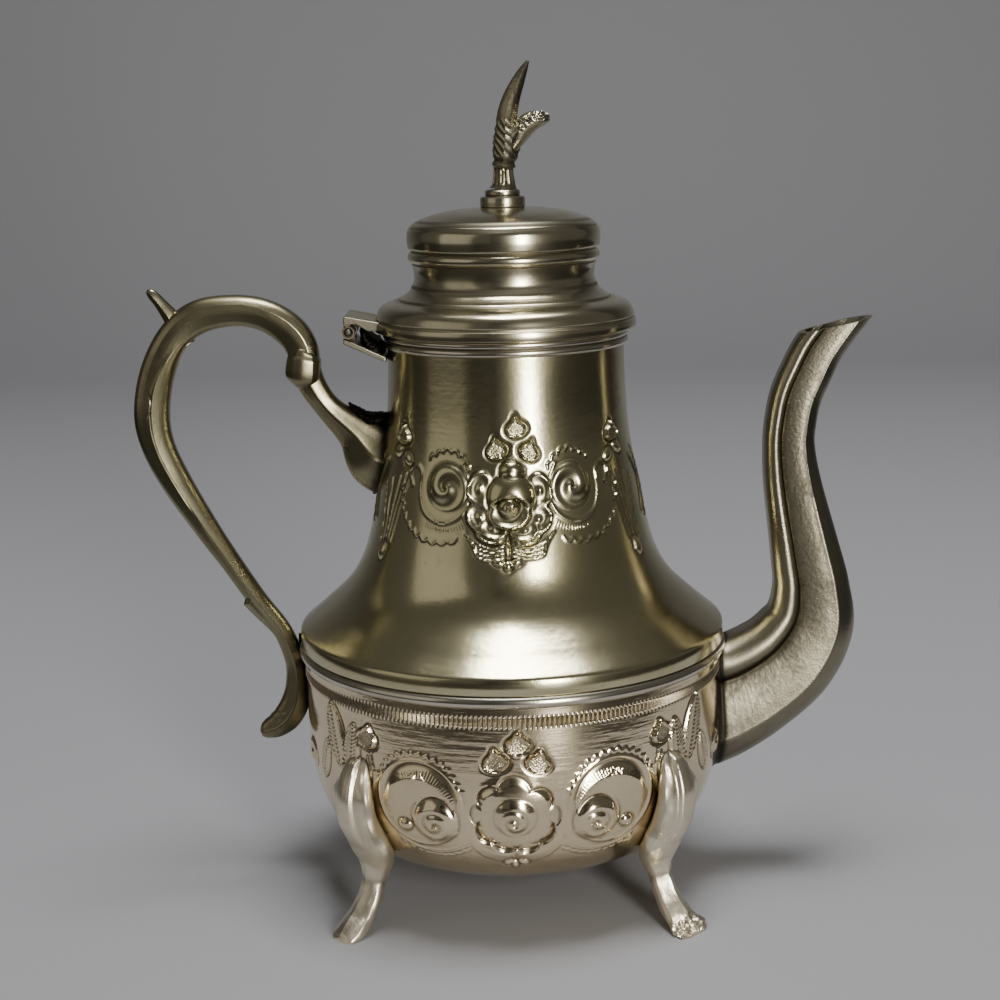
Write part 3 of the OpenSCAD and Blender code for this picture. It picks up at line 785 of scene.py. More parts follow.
def ease(value, start, end):
    """0 before start and 1 past end, with a soft change between them."""
    t = np.clip((value - start) / (end - start), 0, 1)
    return t * t * (3 - 2 * t)


def run_at(x, z):
    """Distance along the handle of its point nearest to a place."""
    return handle_run[np.argmin((handle_path[:, 0] - x) ** 2 + (handle_path[:, 1] - z) ** 2)]


bud_run = run_at(-62.3, 166)
in_bend = (ease(handle_run, bud_run - 4, bud_run + 3)
           - ease(handle_run, run_at(-98, 179), run_at(-109.5, 158)))[:, None, None]
handle_rings = both_sides(shank_half)[None] * (1 - in_bend) + both_sides(bend_half)[None] * in_bend
handle_columns = handle_rings.shape[1]
side_column = from_inner_roll(handle_columns)
run = handle_run[:, None]
pits = grain((len(handle_path), handle_columns), 11, 2)
outer_edge = np.clip((side_column - 36) / 12, 0, 1)
past_step = run - run_at(-83.4, 92.6)
step = ease(past_step, -0.6, 0.6) * np.clip(1 - past_step / 15, 0, 1)
handle_lift = 0.004 * pits + 1.5 * outer_edge * step
worn_start, worn_end = run_at(-110.5, 150) - 10, run_at(-95, 115)
groove = ease(run, worn_start, worn_start + 5) * (1 - ease(run, worn_end - 12, worn_end))
handle_lift = handle_lift - 0.35 * groove * np.exp(-(((side_column - 20.5) / 2.4) ** 2))
nick_run = run_at(-110.2, 157)
for slant in (-1, 1):
    nick_line = nick_run + slant * (side_column - 18) * 0.35 + 1.2
    nick = np.exp(-(((run - nick_line) / 0.45) ** 2)) * (side_column > 17)
    handle_lift = handle_lift - 0.3 * nick * np.clip((30 - side_column) / 4, 0, 1)
for curl in range(3):
    curl_run = run_at(-70.5, 57) + 3.4 * curl
    cut = np.exp(-(((run - curl_run - 0.12 * side_column) / 0.5) ** 2)) * (side_column > 30)
    handle_lift = handle_lift - 0.22 * cut
handle_points = swept(handle_path, handle_rings, handle_lift)
handle_points, root_gap = held_at_wall(handle_points)
handle_dirt_and_painted_shade = np.clip(1.2 * np.exp(-((np.clip(root_gap, 0, 99) / 2.2) ** 2))
                      + 0.55 * groove * np.exp(-(((side_column - 21) / 2.6) ** 2))
                      + 0.12 * (pits < -1.4), 0, 1)
# Painted shade: the top face of the handle near its upper root, where it flares into the neck, is painted
# dark for the deep shade that lies on it. The rest of this layer is dirt at the joints, in the worn groove
# and in the pits.
painted_shade_on_top = ease(-run, -16, -5) * (side_column > 40)
handle_dirt_and_painted_shade = np.clip(handle_dirt_and_painted_shade + painted_shade_on_top, 0, 1)
satin_cast = aged_plate("satin_cast", (0.36, 0.33, 0.21), (0.24, 0.215, 0.13), 0.22, 0.8, 0.03, 45, 0.12)
handle = piece_from("loop_handle", handle_points, grid_faces(len(handle_path), handle_columns, caps=True),
                    satin_cast, 34, handle_dirt_and_painted_shade)


def casting(name, path, ring, lift=0, dirt=None):
    """A solid swept casting with closed ends."""
    points = swept(path, ring, lift)
    faces = grid_faces(len(path), len(ring), caps=True)
    return piece_from(name, points, faces, satin_cast, 34, dirt)


spur_path = smooth([(-98, 174, 2.4, 2.4), (-101.6, 180.6, 2.8, 2.7), (-105.6, 186.4, 2, 1.9),
                    (-108.3, 189.6, 1.6, 1.5), (-109.5, 190.6, 0.9, 0.9), (-109.8, 190.8, 0.3, 0.3)], 8)
ridged_half = half_section((10, [(1, 0), (0.8, 0.5), (0.1, 1.0)]),
                           (10, [(0.1, 1.0), (-0.75, 0.55), (-1, 0)]))
spur = casting("thumb_spur", spur_path, both_sides(ridged_half))

bud_path = smooth([(-60.6, 173.2, 1.2, 3.4), (-62, 170.6, 4.6, 5.5), (-62.7, 166.6, 5.4, 6.1),
                   (-63, 163, 5.2, 5.9), (-63.3, 160.6, 2.6, 4.4), (-63.4, 159.2, 0.5, 1.6)], 8)
bud_half = half_section((12, [(1, 0), (0.94, 0.55), (0.62, 0.92)]),
                        (12, [(0.62, 0.92), (0, 1.0), (-0.5, 0.94)]),
                        (12, [(-0.5, 0.94), (-0.92, 0.5), (-1, 0)]))
bud_ring = both_sides(bud_half)
from_fold = np.arange(len(bud_path))[:, None] - 9
bud = casting("leaf_bud", bud_path, bud_ring, -0.35 * np.exp(-((from_fold / 1.3) ** 2)),
              dirt=np.repeat(0.8 * np.exp(-((from_fold / 1.5) ** 2)), len(bud_ring), 1))
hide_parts("handle")
for cast in (handle, spur, bud):
    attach(cast, "pot")

flux = aged_plate("burnt_flux", (0.02, 0.018, 0.014), (0.008, 0.007, 0.006), 0.5, 0.6, 0.12)


def flux_line(name, spots, size, seed):
    """A rough fillet of burnt flux and solder along a joint."""
    path = smooth([(x, z, w, w) for x, z, w in spots], 10)
    ring = both_sides(half_section((14, [(1, 0), (0.7, 0.7), (0, 1), (-0.7, 0.7), (-1, 0)])))
    lift = 0.16 * grain((len(path), len(ring)), seed, 2)
    points = swept(path, ring * (1, size), lift)
    fillet = piece_from(name, points, grid_faces(len(path), len(ring), caps=True), flux, 60)
    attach(fillet, "pot")


flux_line("upper_flux", [(-36.4, 150.8, 0.9), (-38.2, 149.8, 2.1), (-41, 149.4, 2.3), (-44, 150.1, 2.0),
                         (-47, 152.4, 1.4), (-49.2, 154.8, 0.3)], 1.9, 21)
flux_line("neck_flux", [(-42.4, 125.8, 0.3), (-41.8, 128.6, 1.5), (-40.6, 132.6, 1.8), (-39.2, 137, 1.2),
                        (-38.2, 141, 0.6)], 2.5, 22)
flux_line("belly_flux", [(-67.7, 80.6, 0.5), (-67.2, 77, 0.9), (-66.6, 72, 1.1), (-66.2, 66, 1.2),
                         (-66, 60, 0.9), (-66.2, 56.6, 0.3)], 2.0, 23)


# ---- Feet ----
# Four cast feet stand at the corners. Each is a leaf pad with a filed keel, soldered under the belly, on
# a curved leg that spreads into a rounded toe. The front right toe is left rough from the sand.
foot_path = smooth([(64.2, 56.6, 0.5, 0.8), (64.8, 55, 1.4, 3), (67, 50, 2.8, 5.9), (68.2, 43, 3.8, 7.7),
                    (66.4, 35, 4.4, 7.8), (63, 28, 4.4, 8.2), (60.4, 22, 4.4, 7), (61.2, 16.2, 3.8, 4.3),
                    (63.2, 10.8, 3.6, 4.1), (66.8, 5.8, 3.6, 4.8), (71.6, 1.9, 3.3, 5.2),
                    (74.6, 0.4, 2.2, 4.6), (76, 0.2, 0.9, 2.6)], 12)
foot_step = 0.5
foot_path = evenly(foot_path, foot_step)
foot_run = np.arange(len(foot_path))[:, None] * foot_step
ankle = 44
pad_half = half_section((16, [(1, 0), (0.93, 0.38), (0.74, 0.68), (0.42, 0.93)]),
                        (8, [(0.42, 0.93), (0.1, 1.0), (-0.2, 0.98)]),
                        (14, [(-0.2, 0.98), (-0.7, 0.72), (-1, 0)]))
leg_half = half_section((16, [(1, 0), (0.74, 0.42), (0.52, 0.74), (0.34, 0.93)]),
                        (8, [(0.34, 0.93), (0.1, 1.0), (-0.2, 0.98)]),
                        (14, [(-0.2, 0.98), (-0.7, 0.72), (-1, 0)]))
pad = (1 - ease(foot_run, 36, 46))[..., None]
foot_rings = both_sides(pad_half)[None] * pad + both_sides(leg_half)[None] * (1 - pad)
foot_columns = foot_rings.shape[1]
foot_side = from_inner_roll(foot_columns)


def foot(name, node, azimuth, seed, rough):
    """One foot, turned round the pot's axis to its corner."""
    pits = grain((len(foot_path), foot_columns), seed, 2)
    tongue = (1 - ease(foot_side, 4.2, 6.4)) * ease(foot_run, 2, 5) * (1 - ease(foot_run, 20, 30))
    waves = 0.09 * grain(pits.shape, seed + 2, 30)
    keel_line = 0.25 * np.exp(-((foot_side - 7.4) ** 2)) * (foot_run < 26)
    lobes = 0.4 * np.sin(foot_run * 0.62) * np.exp(-(((foot_side - 17) / 4.5) ** 2))
    ankle_line = 0.3 * np.exp(-(((foot_run - ankle) / 1.1) ** 2))
    sand = 0.32 * rough * grain(pits.shape, seed + 1) * ease(foot_run, 58, 61)
    lift = (0.012 * pits + waves + 1.15 * tongue - keel_line
            + lobes * (1 - ease(foot_run, 28, 36)) - ankle_line + sand)
    points = swept(foot_path, foot_rings, lift)
    points[..., 1] *= 1 + rough * 0.25 * ease(foot_run, 57, 62)
    cos, sin = math.cos(math.radians(azimuth)), math.sin(math.radians(azimuth))
    points[..., :2] = points[..., :2] @ np.array([(cos, sin), (-sin, cos)])
    points, gap = held_at_wall(points)
    points[..., 2] = np.maximum(points[..., 2], 0)
    # The colour is darker at the joint with the belly, round the ankle and in the rough toe's pits, and
    # also over the upper pad except its outer rim.
    dirt = (0.9 * np.exp(-((np.clip(gap, 0, 99) / 1.1) ** 2)) + 0.3 * (foot_side > 14) * (foot_run < 28)
            + 0.45 * np.exp(-(((foot_run - ankle) / 1.4) ** 2))
            + 0.3 * rough * (pits < -0.5) * (foot_run > 58))
    piece = piece_from(name, points, grid_faces(len(foot_path), foot_columns, caps=True), bright_cast, 40,
                       np.clip(dirt, 0, 1))
    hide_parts(node)
    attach(piece, "pot")


bright_cast = aged_plate("bright_cast", (0.86, 0.78, 0.61), (0.72, 0.645, 0.48), 0.24, 1.0, 0.06, 60, 0.16)
for corner, azimuth, seed, rough in [("front_left", 225, 31, 0), ("front_right", 315, 33, 1),
                                     ("rear_left", 135, 35, 0), ("rear_right", 45, 37, 0)]:
    foot("leaf_foot_" + corner, "foot_" + corner, azimuth, seed, rough)


# ---- Lid ----
# The lid is spun from sheet in four rings that are soldered together: a stepped flange that overhangs the
# neck, a waisted drum with a rolled band, a low dome, and a sleeve that drops inside the neck.
flange_low, flange_high = box_mm("lid_flange")
lid_r, lid_z = flange_high[0], flange_low[2]
sleeve_low, sleeve_high = box_mm("lid_sleeve")
sleeve_r = sleeve_high[0]
crown_z = box_mm("lid_dome")[1][2]
flange_line = ([(sleeve_r, lid_z), (lid_r - 0.8, lid_z), (lid_r - 0.2, lid_z + 0.25), (lid_r, lid_z + 0.8),
                (lid_r, lid_z + 2.2), (lid_r - 0.2, lid_z + 2.8), (lid_r - 0.7, lid_z + 3.15),
                (lid_r - 0.75, lid_z + 3.6)]
               + smooth([(lid_r - 0.5, 181.2), (lid_r - 1.5, 183.6), (lid_r - 3.4, 185.2),
                         (lid_r - 7.1, 186.4)], 9).tolist()
               + [(lid_r - 7.6, 186.3), (lid_r - 7.9, 186.7)]
               + smooth([(lid_r - 8.2, 187.1), (30.6, 188), (29.2, 189.2), (28.4, 190.6)], 7).tolist())
drum_line = (smooth([(28.4, 190.6), (27.7, 192.4), (27.7, 195), (28.2, 197.2)], 8).tolist()
             + [(28.0, 197.45), (28.1, 197.7)] + arc(27.5, 199.4, 1.9, -62, 66, 16)
             + [(28.2, 201.25), (28.3, 201.6), (29.1, 201.9)]
             + smooth([(29.35, 202.4), (29.6, 204.6), (29.4, 207), (28.8, 208.2)], 8).tolist())
dome_line = (smooth([(28.6, 208.2), (28, 209.1), (26.6, 209.95)], 6).tolist()
             + [(26.3, 209.9), (25.9, 210.15)]
             + smooth([(25.4, 210.6), (20, 212.3), (13, 213.4), (8, crown_z)], 10).tolist()
             + [(1.7, crown_z)])
flange_under = [(27.3, 190.6), (28, 187.6), (31, 185.6), (36, 184), (38.4, 182), (38.6, 179.2),
                (38.2, 178.2), (sleeve_r, 178.2)]
drum_under = [(27.7, 208.2), (27.4, 202.6), (26.6, 200.8), (26.6, 192.2), (27.3, 190.6)]
dome_under = [(1.7, crown_z - 1.2), (9, crown_z - 1.2), (20, 211.1), (25.8, 209.1), (26.9, 208.2)]
spun_plate = aged_plate("spun_plate", (0.66, 0.605, 0.44), (0.50, 0.455, 0.31), 0.15, 1.4, 0.018, 36, 0.1)
spun_nodes, spun_links = spun_plate.node_tree.nodes, spun_plate.node_tree.links
turning = spun_nodes.new("ShaderNodeTexWave")
turning.wave_type = "RINGS"
turning.rings_direction = "Z"
turning.inputs["Scale"].default_value = 420
turning.inputs["Distortion"].default_value = 1.5
turning.inputs["Detail"].default_value = 2
spun_links.new(spun_nodes["Texture Coordinate"].outputs["Object"], turning.inputs["Vector"])
marks = spun_nodes.new("ShaderNodeBump")
marks.inputs["Distance"].default_value = 0.006 * mm
spun_links.new(turning.outputs["Fac"], marks.inputs["Height"])
spun_links.new(spun_nodes["Bump"].outputs["Normal"], marks.inputs["Normal"])
spun_links.new(marks.outputs["Normal"], spun_nodes["Principled BSDF"].inputs["Normal"])
sleeve_foot, sleeve_top = sleeve_low[2], sleeve_high[2]
sleeve_line = [(sleeve_r, sleeve_foot + 0.2), (sleeve_r, sleeve_top), (sleeve_r - 1.1, sleeve_top),
               (sleeve_r - 1.1, sleeve_foot + 0.2), (sleeve_r - 0.8, sleeve_foot),
               (sleeve_r - 0.3, sleeve_foot)]
for name, node, line, seams in [
        ("stepped_flange", "lid_flange", flange_line + flange_under, (180.6, 186.6, 190.4)),
        ("waisted_drum", "lid_drum", drum_line + drum_under, (190.8, 197.5, 201.4)),
        ("low_dome", "lid_dome", dome_line + dome_under, (208.2, 210.0)),
        ("inner_sleeve", "lid_sleeve", sleeve_line, (lid_z,))]:
    spun = ring_of(name, line, spun_plate, 384, near_heights(line, seams, 0.32, 0.85), 30)
    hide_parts(node)
    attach(spun, "lid")


# ---- Hinge ----
# Two thick cast plates are rolled at their ends into knuckles and joined by a peened steel wire. The upper
# plate is soldered on the lid's flange, and the lower one slants down to the neck in a lump of solder.
pin_low, pin_high = box_mm("hinge_pin")
axis_x, axis_z = (pin_low[0] + pin_high[0]) / 2, (pin_low[2] + pin_high[2]) / 2
pin_r = (pin_high[2] - pin_low[2]) / 2
leaf_low, leaf_high = box_mm("hinge_lid_leaf")
leaf_w = leaf_high[1] - leaf_low[1]
knuckle_r, knuckle_t = 2.2, 0.46
middle_w = 7.6
dark_plate = aged_plate("dark_plate", (0.42, 0.39, 0.29), (0.26, 0.235, 0.16), 0.26, 0.8, 0.03, 90, 0.16)
pin_wire = aged_plate("pin_wire", (0.22, 0.21, 0.19), (0.10, 0.095, 0.085), 0.32, 0.5, 0.02)


def plate(name, outline, width, y, body, bevel=0.25, stain=0.25):
    """A cast plate whose outline lies in the plane of the joint, with softened edges."""
    outline = np.array(outline, float)
    area = np.sum(outline[:, 0] * np.roll(outline[:, 1], -1) - np.roll(outline[:, 0], -1) * outline[:, 1])
    if area < 0:
        outline = outline[::-1]
    n = len(outline)
    points = [(x, side, z) for side in (y - width / 2, y + width / 2) for x, z in outline]
    faces = [list(range(n)), list(range(2 * n - 1, n - 1, -1))]
    faces += [[(k + 1) % n, k, n + k, n + (k + 1) % n] for k in range(n)]
    made = piece_from(name, points, faces, dark_plate, 40, np.full(2 * n, stain))
    edge = made.modifiers.new("edge", "BEVEL")
    edge.width = bevel * mm
    edge.segments = 3
    edge.limit_method = "ANGLE"
    edge.angle_limit = math.radians(35)
    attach(made, body)
    return made


def rolled_knuckle(name, length, y, start, body):
    """A strip end rolled nearly twice round the pin; start is the angle where it leaves its plate."""
    n = 90
    turns = np.radians(np.linspace(start, start + 600, n))
    middle = np.linspace(knuckle_r - knuckle_t / 2, pin_r + 0.08 + knuckle_t / 2, n)
    points = [(axis_x + (m + half_t) * math.cos(a), side, axis_z + (m + half_t) * math.sin(a))
              for side in (y - length / 2, y + length / 2) for half_t in (knuckle_t / 2, -knuckle_t / 2)
              for m, a in zip(middle, turns)]
    rim = [0, 2 * n, 3 * n, n]
    faces = [[low + k, high + k, high + k + 1, low + k + 1]
             for low, high in zip(rim, rim[1:] + rim[:1]) for k in range(n - 1)]
    faces += [rim[::-1], [corner + n - 1 for corner in rim]]
    depth = np.tile(np.concatenate([np.linspace(0.1, 0.9, n), np.linspace(0.6, 1, n)]), 2)
    made = piece_from(name, points, faces, dark_plate, 50, depth)
    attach(made, body)


under = axis_z + knuckle_r + 0.15
lid_leaf = plate("lid_hinge_plate",
                 [(axis_x - 1.4, under), (axis_x - 1.4, under + 2.1), (axis_x - 0.8, under + 2.45),
                  (1.4 - lid_r, under + 0.5), (5 - lid_r, under + 0.4), (5 - lid_r, lid_z + 0.9),
                  (-1.3 - lid_r, lid_z + 0.9), (axis_x + 2.6, under)],
                 leaf_w - 0.1, 0, "lid", 0.3, 0.1)
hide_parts("hinge_lid_leaf")
side_w = (leaf_w - middle_w) / 2 - 0.2
for name, y in (("front_knuckle", -(leaf_w - side_w) / 2), ("rear_knuckle", (leaf_w - side_w) / 2)):
    rolled_knuckle(name, side_w, y, 112, "lid")
    plate(name + "_neck", [(axis_x - 1.35, axis_z + 1.4), (axis_x - 1.35, under + 0.4),
                           (axis_x + 1.2, under + 0.4), (axis_x + 0.6, axis_z + 1.9)],
          side_w, y, "lid", 0.1, 0.6)
slope, plate_t = -0.46, 1.7
clear_z = axis_z - (knuckle_r + 0.15) / math.cos(math.atan(slope))
left, right = -1.6, 11.2
body_leaf = plate("neck_hinge_plate",
                  [(axis_x + x, clear_z + slope * x - drop)
                   for x, drop in [(left, 0), (right, 0), (right, plate_t), (left, plate_t)]],
                  leaf_w - 0.1, 0, "pot", 0.3, 0.15)
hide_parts("hinge_body_leaf")
rolled_knuckle("middle_knuckle", middle_w, 0, 250, "pot")
plate("middle_knuckle_neck", [(axis_x - 1.2, axis_z - 1.6), (axis_x + 1.5, axis_z - 1.4),
                              (axis_x + 1.5, clear_z - 1.2), (axis_x - 1.2, clear_z - 0.2)],
      middle_w, 0, "pot", 0.1, 0.8)

half_pin = (pin_high[1] - pin_low[1]) / 2
pin_profile = np.array([(0.02, -half_pin), (pin_r * 0.6, -half_pin + 0.05), (pin_r, -half_pin + 0.35),
                        (pin_r, half_pin - 0.35), (pin_r * 0.6, half_pin - 0.05), (0.02, half_pin)])
pin_sides = 48
pin_angle = 2 * np.pi * np.arange(pin_sides) / pin_sides
pin_points = np.stack([axis_x + pin_profile[:, :1] * np.sin(pin_angle),
                       np.repeat(pin_profile[:, 1:], pin_sides, 1),
                       axis_z + pin_profile[:, :1] * np.cos(pin_angle)], -1)
pin = piece_from("hinge_wire", pin_points, grid_faces(len(pin_profile), pin_sides, caps=True), pin_wire, 30)
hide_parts("hinge_pin")
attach(pin, "pot")

lump_path = smooth([(-43.3, 179.0, 0.3, 3), (-43.3, 178.0, 1.4, 7.6), (-43.1, 176.2, 1.6, 8.4),
                    (-42.2, 174.4, 2.2, 8.8), (-40.6, 172.6, 3.0, 9.0), (-38.9, 170.6, 2.0, 8.2),
                    (-37.6, 168, 0.4, 3)], 8)
lump_ring = both_sides(half_section((16, [(1, 0), (0.8, 0.75), (0, 1), (-0.8, 0.75), (-1, 0)])))
lump_lift = 0.14 * grain((len(lump_path), len(lump_ring)), 41, 2)
lump = piece_from("hinge_flux", swept(lump_path, lump_ring, lump_lift),
                  grid_faces(len(lump_path), len(lump_ring), caps=True), flux, 60)
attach(lump, "pot")


# ---- Finial ----
# The finial is a solid casting of a tall curved leaf beside a small opening bud. It stands on a turned
# collar of two discs, and its edges are worn bright where it's held to lift the lid.
collar_z = box_mm("finial_collar")[1][2]
collar_line = [(1.5, crown_z), (6.4, crown_z), (6.75, crown_z + 0.25), (6.85, crown_z + 0.7),
               (6.85, crown_z + 2.5), (6.7, crown_z + 3), (6.2, crown_z + 3.25), (5.4, crown_z + 3.3),
               (5.15, crown_z + 3.5), (5.2, crown_z + 3.75), (5.4, crown_z + 4), (5.4, crown_z + 4.7),
               (5.15, crown_z + 5.1), (4.6, collar_z), (1.5, collar_z)]
worn_cast = aged_plate("worn_cast", (0.52, 0.48, 0.36), (0.33, 0.30, 0.19), 0.19, 0.7, 0.03, 120, 0.12)
collar = ring_of("finial_discs", collar_line, worn_cast, 128,
                 near_heights(collar_line, (crown_z, crown_z + 3.45), 0.3, 0.9), 30)
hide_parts("finial_collar")
stem_path = evenly(smooth([(0.4, collar_z, 4.4, 4.2), (0.5, collar_z + 1.2, 3.5, 3.3), (0.5, 223, 3.0, 3.0),
                           (0.5, 225.4, 2.9, 2.8), (0.8, 227.4, 3.4, 3.1), (1.2, 230, 3.9, 3.2),
                           (1.8, 234, 4.2, 3.3), (1.7, 239, 3.2, 2.9), (2.2, 242.4, 3, 2.5),
                           (3.4, 246.4, 2.6, 2.2), (5.3, 250.8, 2, 1.7), (7.2, 254.6, 1.2, 1.1),
                           (8.5, 256.9, 0.4, 0.4)], 8), 0.25)
blade_half = half_section((12, [(1, 0), (0.72, 0.42), (0.14, 1.0)]),
                          (12, [(0.14, 1.0), (-0.5, 0.62), (-1, 0)]))
stem_rows = len(stem_path)
stem_z = stem_path[:, 1:2]
stem_columns = 48
stem_side = from_inner_roll(stem_columns)
knot_z, throat_z = 226.2, 227.6
on_stem = ease(stem_z, collar_z + 0.8, collar_z + 2) * (1 - ease(stem_z, 224.6, 225.6))
on_leaf = ease(stem_z, 228, 230) * (1 - ease(stem_z, 238, 241))
flutes = 0.22 * np.cos(stem_side * 1.35) * on_stem
knot = 0.5 * np.exp(-(((stem_z - knot_z) / 0.55) ** 2)) - 0.35 * np.exp(-(((stem_z - throat_z) / 0.5) ** 2))
scales = 0.14 * np.sin(stem_z * 2.6 + stem_side * 0.9) * on_leaf
stem_lift = flutes + knot + scales + 0.012 * grain((stem_rows, stem_columns), 51, 2)
stem_dirt = np.clip(0.9 * np.exp(-(((stem_z - throat_z) / 0.8) ** 2))
                    + 0.9 * np.exp(-(((stem_z - collar_z) / 0.5) ** 2))
                    + 0.8 * (scales < -0.06) + 0.7 * (flutes < -0.1), 0, 1)
stem = piece_from("curved_leaf", swept(stem_path, both_sides(blade_half), stem_lift),
                  grid_faces(stem_rows, stem_columns, caps=True), worn_cast, 32, stem_dirt)
bloom_path = evenly(smooth([(2.4, 230.4, 1.6, 1.6), (4.4, 234.2, 3.0, 2.8), (6.4, 237, 3.3, 3.3),
                            (8.8, 238.8, 3.0, 3.5), (11.2, 239.5, 2.4, 3.4), (13.4, 239.8, 1.7, 2.6),
                            (14.7, 239.8, 0.7, 1.1)], 8), 0.25)
bloom_columns = 64
bloom_angle = 2 * np.pi * np.arange(bloom_columns) / bloom_columns
bloom_ring = np.stack([np.cos(bloom_angle), -np.sin(bloom_angle)], 1)
bloom_rows = np.arange(len(bloom_path))[:, None] / len(bloom_path)
lumps = 0.34 * grain((len(bloom_path), bloom_columns), 53, 3) * np.clip(np.cos(bloom_angle) * 2 + 0.4, 0, 1)
# The bud's colour is darker over its whole lower side, and in the hollows between its lumps.
bloom = piece_from("opening_bud", swept(bloom_path, bloom_ring, lumps * ease(bloom_rows, 0.3, 0.5)),
                   grid_faces(len(bloom_path), bloom_columns, caps=True), worn_cast, 50,
                   np.clip(0.75 * (lumps < -0.25) + 0.25 * (np.cos(bloom_angle) < 0), 0, 1))
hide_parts("finial")
for cast in (collar, stem, bloom):
    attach(cast, "lid")


# ---- Finial fixings ----
# Under the lid a threaded stud from the finial is drawn up by a hexagon nut on a plain washer. They are
# bare brass and steel, stained by steam.
stud_low, stud_high = box_mm("finial_stud")
stud_r = stud_high[0]
thread_pitch = 0.7
stud_rows = int((stud_high[2] - stud_low[2]) / thread_pitch * 10)
stud_z = np.linspace(stud_low[2], stud_high[2], stud_rows)[:, None]
stud_columns = 40
stud_angle = 2 * np.pi * np.arange(stud_columns) / stud_columns
phase = (stud_z / thread_pitch - stud_angle / (2 * np.pi)) % 1
thread = stud_r - 0.36 * np.abs(phase * 2 - 1) * ease(stud_z, stud_low[2], stud_low[2] + 0.4)
stud_points = np.stack([thread * np.cos(stud_angle), thread * np.sin(stud_angle),
                        np.broadcast_to(stud_z, thread.shape)], -1)
stained_steel = aged_plate("stained_steel", (0.34, 0.32, 0.29), (0.18, 0.165, 0.14), 0.3, 0.5, 0.01)
stud = piece_from("threaded_stud", stud_points, grid_faces(stud_rows, stud_columns, caps=True),
                  stained_steel, 60, np.clip(np.abs(phase * 2 - 1) - 0.3, 0, 1) * 0.8)
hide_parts("finial_stud")
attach(stud, "lid")
dull_brass = aged_plate("dull_brass", (0.50, 0.37, 0.15), (0.30, 0.22, 0.09), 0.3, 0.8, 0.012, 150)
for node in ("finial_washer", "finial_nut"):
    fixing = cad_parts[node]
    fixing.data.materials.clear()
    fixing.data.materials.append(dull_brass)
    edge = fixing.modifiers.new("edge", "BEVEL")
    edge.width = 0.15 * mm
    edge.segments = 2


# ---- Studio ----
# A plain pale floor sweeps up behind the pot. A tall window of light stands at the front right, with a
# wide light overhead, a weak fill from the left and a wash on the backdrop.
floor_paint = bpy.data.materials.new("pale_floor")
floor_paint.use_nodes = True
floor_nodes = floor_paint.node_tree.nodes
floor_shader = floor_nodes["Principled BSDF"]
floor_noise = floor_nodes.new("ShaderNodeTexNoise")
floor_noise.inputs["Scale"].default_value = 3
floor_ramp = floor_nodes.new("ShaderNodeValToRGB")
floor_ramp.color_ramp.elements[0].color = (0.265, 0.266, 0.282, 1)
floor_ramp.color_ramp.elements[1].color = (0.295, 0.296, 0.31, 1)
floor_paint.node_tree.links.new(floor_noise.outputs["Fac"], floor_ramp.inputs["Fac"])
floor_paint.node_tree.links.new(floor_ramp.outputs["Color"], floor_shader.inputs["Base Color"])
floor_shader.inputs["Roughness"].default_value = 0.8
sweep_line = [(-3.0, 0), (1.2, 0)] + [(1.2 + 0.7 * math.sin(a), 0.7 - 0.7 * math.cos(a))
                                      for a in np.radians(np.linspace(8, 90, 12))] + [(1.9, 3.2)]


def strip(count):
    """Quads between pairs of points that follow each other along a strip."""
    return [(2 * k, 2 * k + 1, 2 * k + 3, 2 * k + 2) for k in range(count - 1)]


floor_points = [(x, y, z) for y, z in sweep_line for x in (-4, 4)]
floor_mesh = mesh_of("floor", floor_points, strip(len(sweep_line)), floor_paint)
floor_mesh.polygons.foreach_set("use_smooth", np.ones(len(floor_mesh.polygons), bool))
floor = placed("floor", floor_mesh)

world = bpy.data.worlds.new("room")
bpy.context.scene.world = world
world.use_nodes = True
world.node_tree.nodes["Background"].inputs["Color"].default_value = (0.09, 0.087, 0.078, 1)
world.node_tree.nodes["Background"].inputs["Strength"].default_value = 1.0


def soft_light(name, place, aim, width, height, watts, colour=(1, 1, 1)):
    """A rectangle of light at a place, turned to its aim."""
    lamp = bpy.data.lights.new(name, "AREA")
    lamp.shape = "RECTANGLE"
    lamp.size, lamp.size_y = width, height
    lamp.energy = watts
    lamp.color = colour
    holder = placed(name, lamp)
    holder.location = place
    holder.rotation_euler = (Vector(aim) - Vector(place)).to_track_quat("-Z", "Y").to_euler()


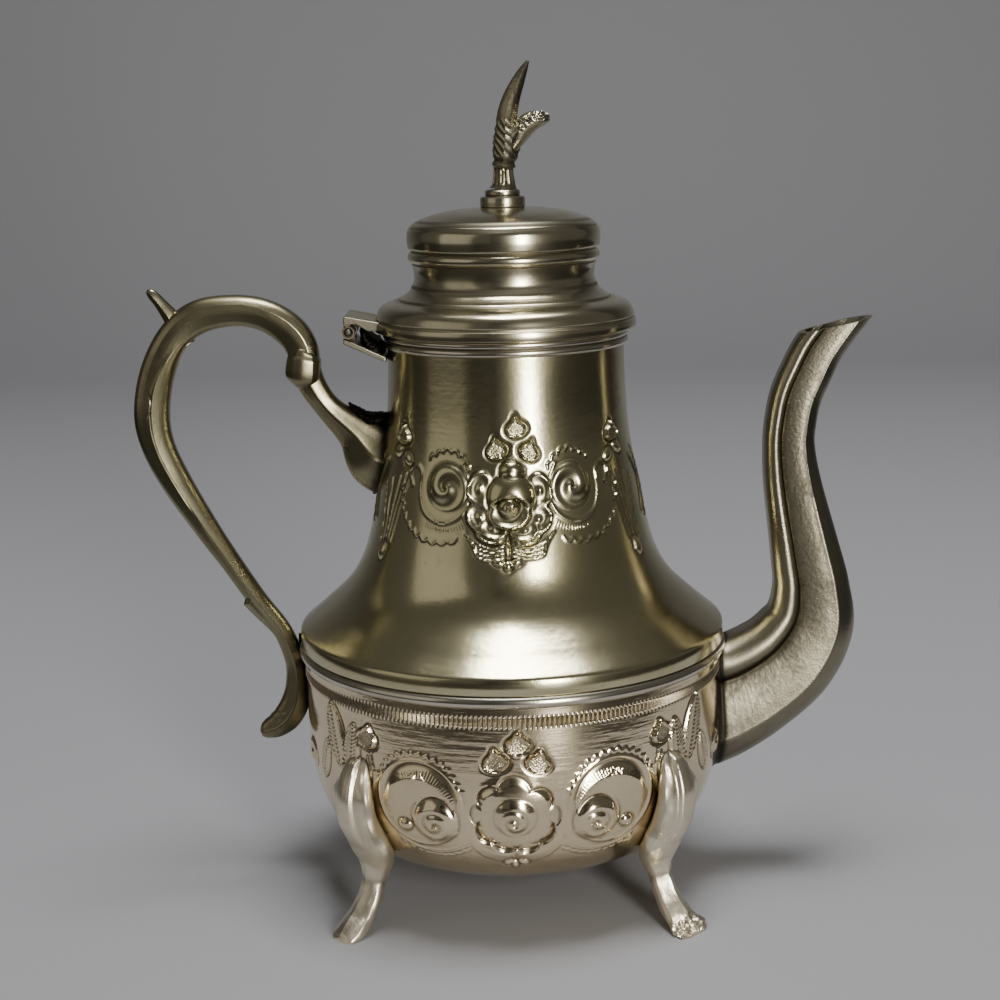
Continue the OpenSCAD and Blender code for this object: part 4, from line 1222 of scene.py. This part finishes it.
soft_light("window", (0.52, -1.35, 0.32), (0, 0, 0.13), 0.26, 0.8, 24, (1, 0.98, 0.94))
soft_light("overhead", (0.1, -0.1, 1.6), (0, 0.02, 0.1), 0.75, 0.5, 25)
soft_light("left_fill", (-1.5, -0.9, 0.7), (0, 0, 0.12), 1.4, 1.4, 2.2, (1, 0.95, 0.86))
soft_light("backdrop_wash", (0.0, 0.3, 1.9), (0, 1.5, 0.3), 1.6, 0.5, 4.5)

# Two black cards that the camera doesn't see give the dark bands in the metal: one stands behind the
# camera, and one lies on the floor in front of the pot with its edge curved round it. The lying card
# shades the floor under it, which looks black when the pot is seen from behind.
card_black = bpy.data.materials.new("card_black")
card_black.use_nodes = True
card_black.node_tree.nodes["Principled BSDF"].inputs["Base Color"].default_value = (0.012, 0.011, 0.009, 1)


def black_card(name, points, faces):
    """A card that the camera doesn't see, which darkens the reflections and shades what it covers."""
    card = placed(name, mesh_of(name, points, faces, card_black))
    card.visible_camera = False


standing_edge = ((-0.42, 0), (0.16, 0), (0.16, 1.5), (-0.42, 1.5))
black_card("standing_card", [(x, -1.55, z) for x, z in standing_edge], [(0, 1, 2, 3)])
card_x = np.linspace(-2.4, 2.4, 97).tolist()
card_points = [(x, y, 0.0005) for x in card_x for y in (min(2.6 * x * x - 0.238, 0.9), -2.9)]
black_card("lying_card", card_points, strip(len(card_x)))

# The camera stands a little over half a metre in front of the pot, level with its lid.
distance, eye_height, focal = 0.561, 0.2405, 65.63
pitch, yaw, roll = math.radians(11.85), math.radians(-0.29), math.radians(-1.3)
ahead = Vector((math.sin(yaw), math.cos(yaw), 0))
level_right = Vector((math.cos(yaw), -math.sin(yaw), 0))
forward = ahead * math.cos(pitch) - Vector((0, 0, math.sin(pitch)))
level_up = ahead * math.sin(pitch) + Vector((0, 0, math.cos(pitch)))
right = level_right * math.cos(roll) + level_up * math.sin(roll)
up = level_up * math.cos(roll) - level_right * math.sin(roll)
camera_data = bpy.data.cameras.new("camera")
camera_data.lens = focal
camera_data.sensor_width = 36
camera_data.clip_start = 0.05
camera = placed("camera", camera_data)
facing = Matrix((right, up, -forward)).transposed().to_4x4()
camera.matrix_world = Matrix.Translation((0, -distance, eye_height)) @ facing
bpy.context.scene.camera = camera
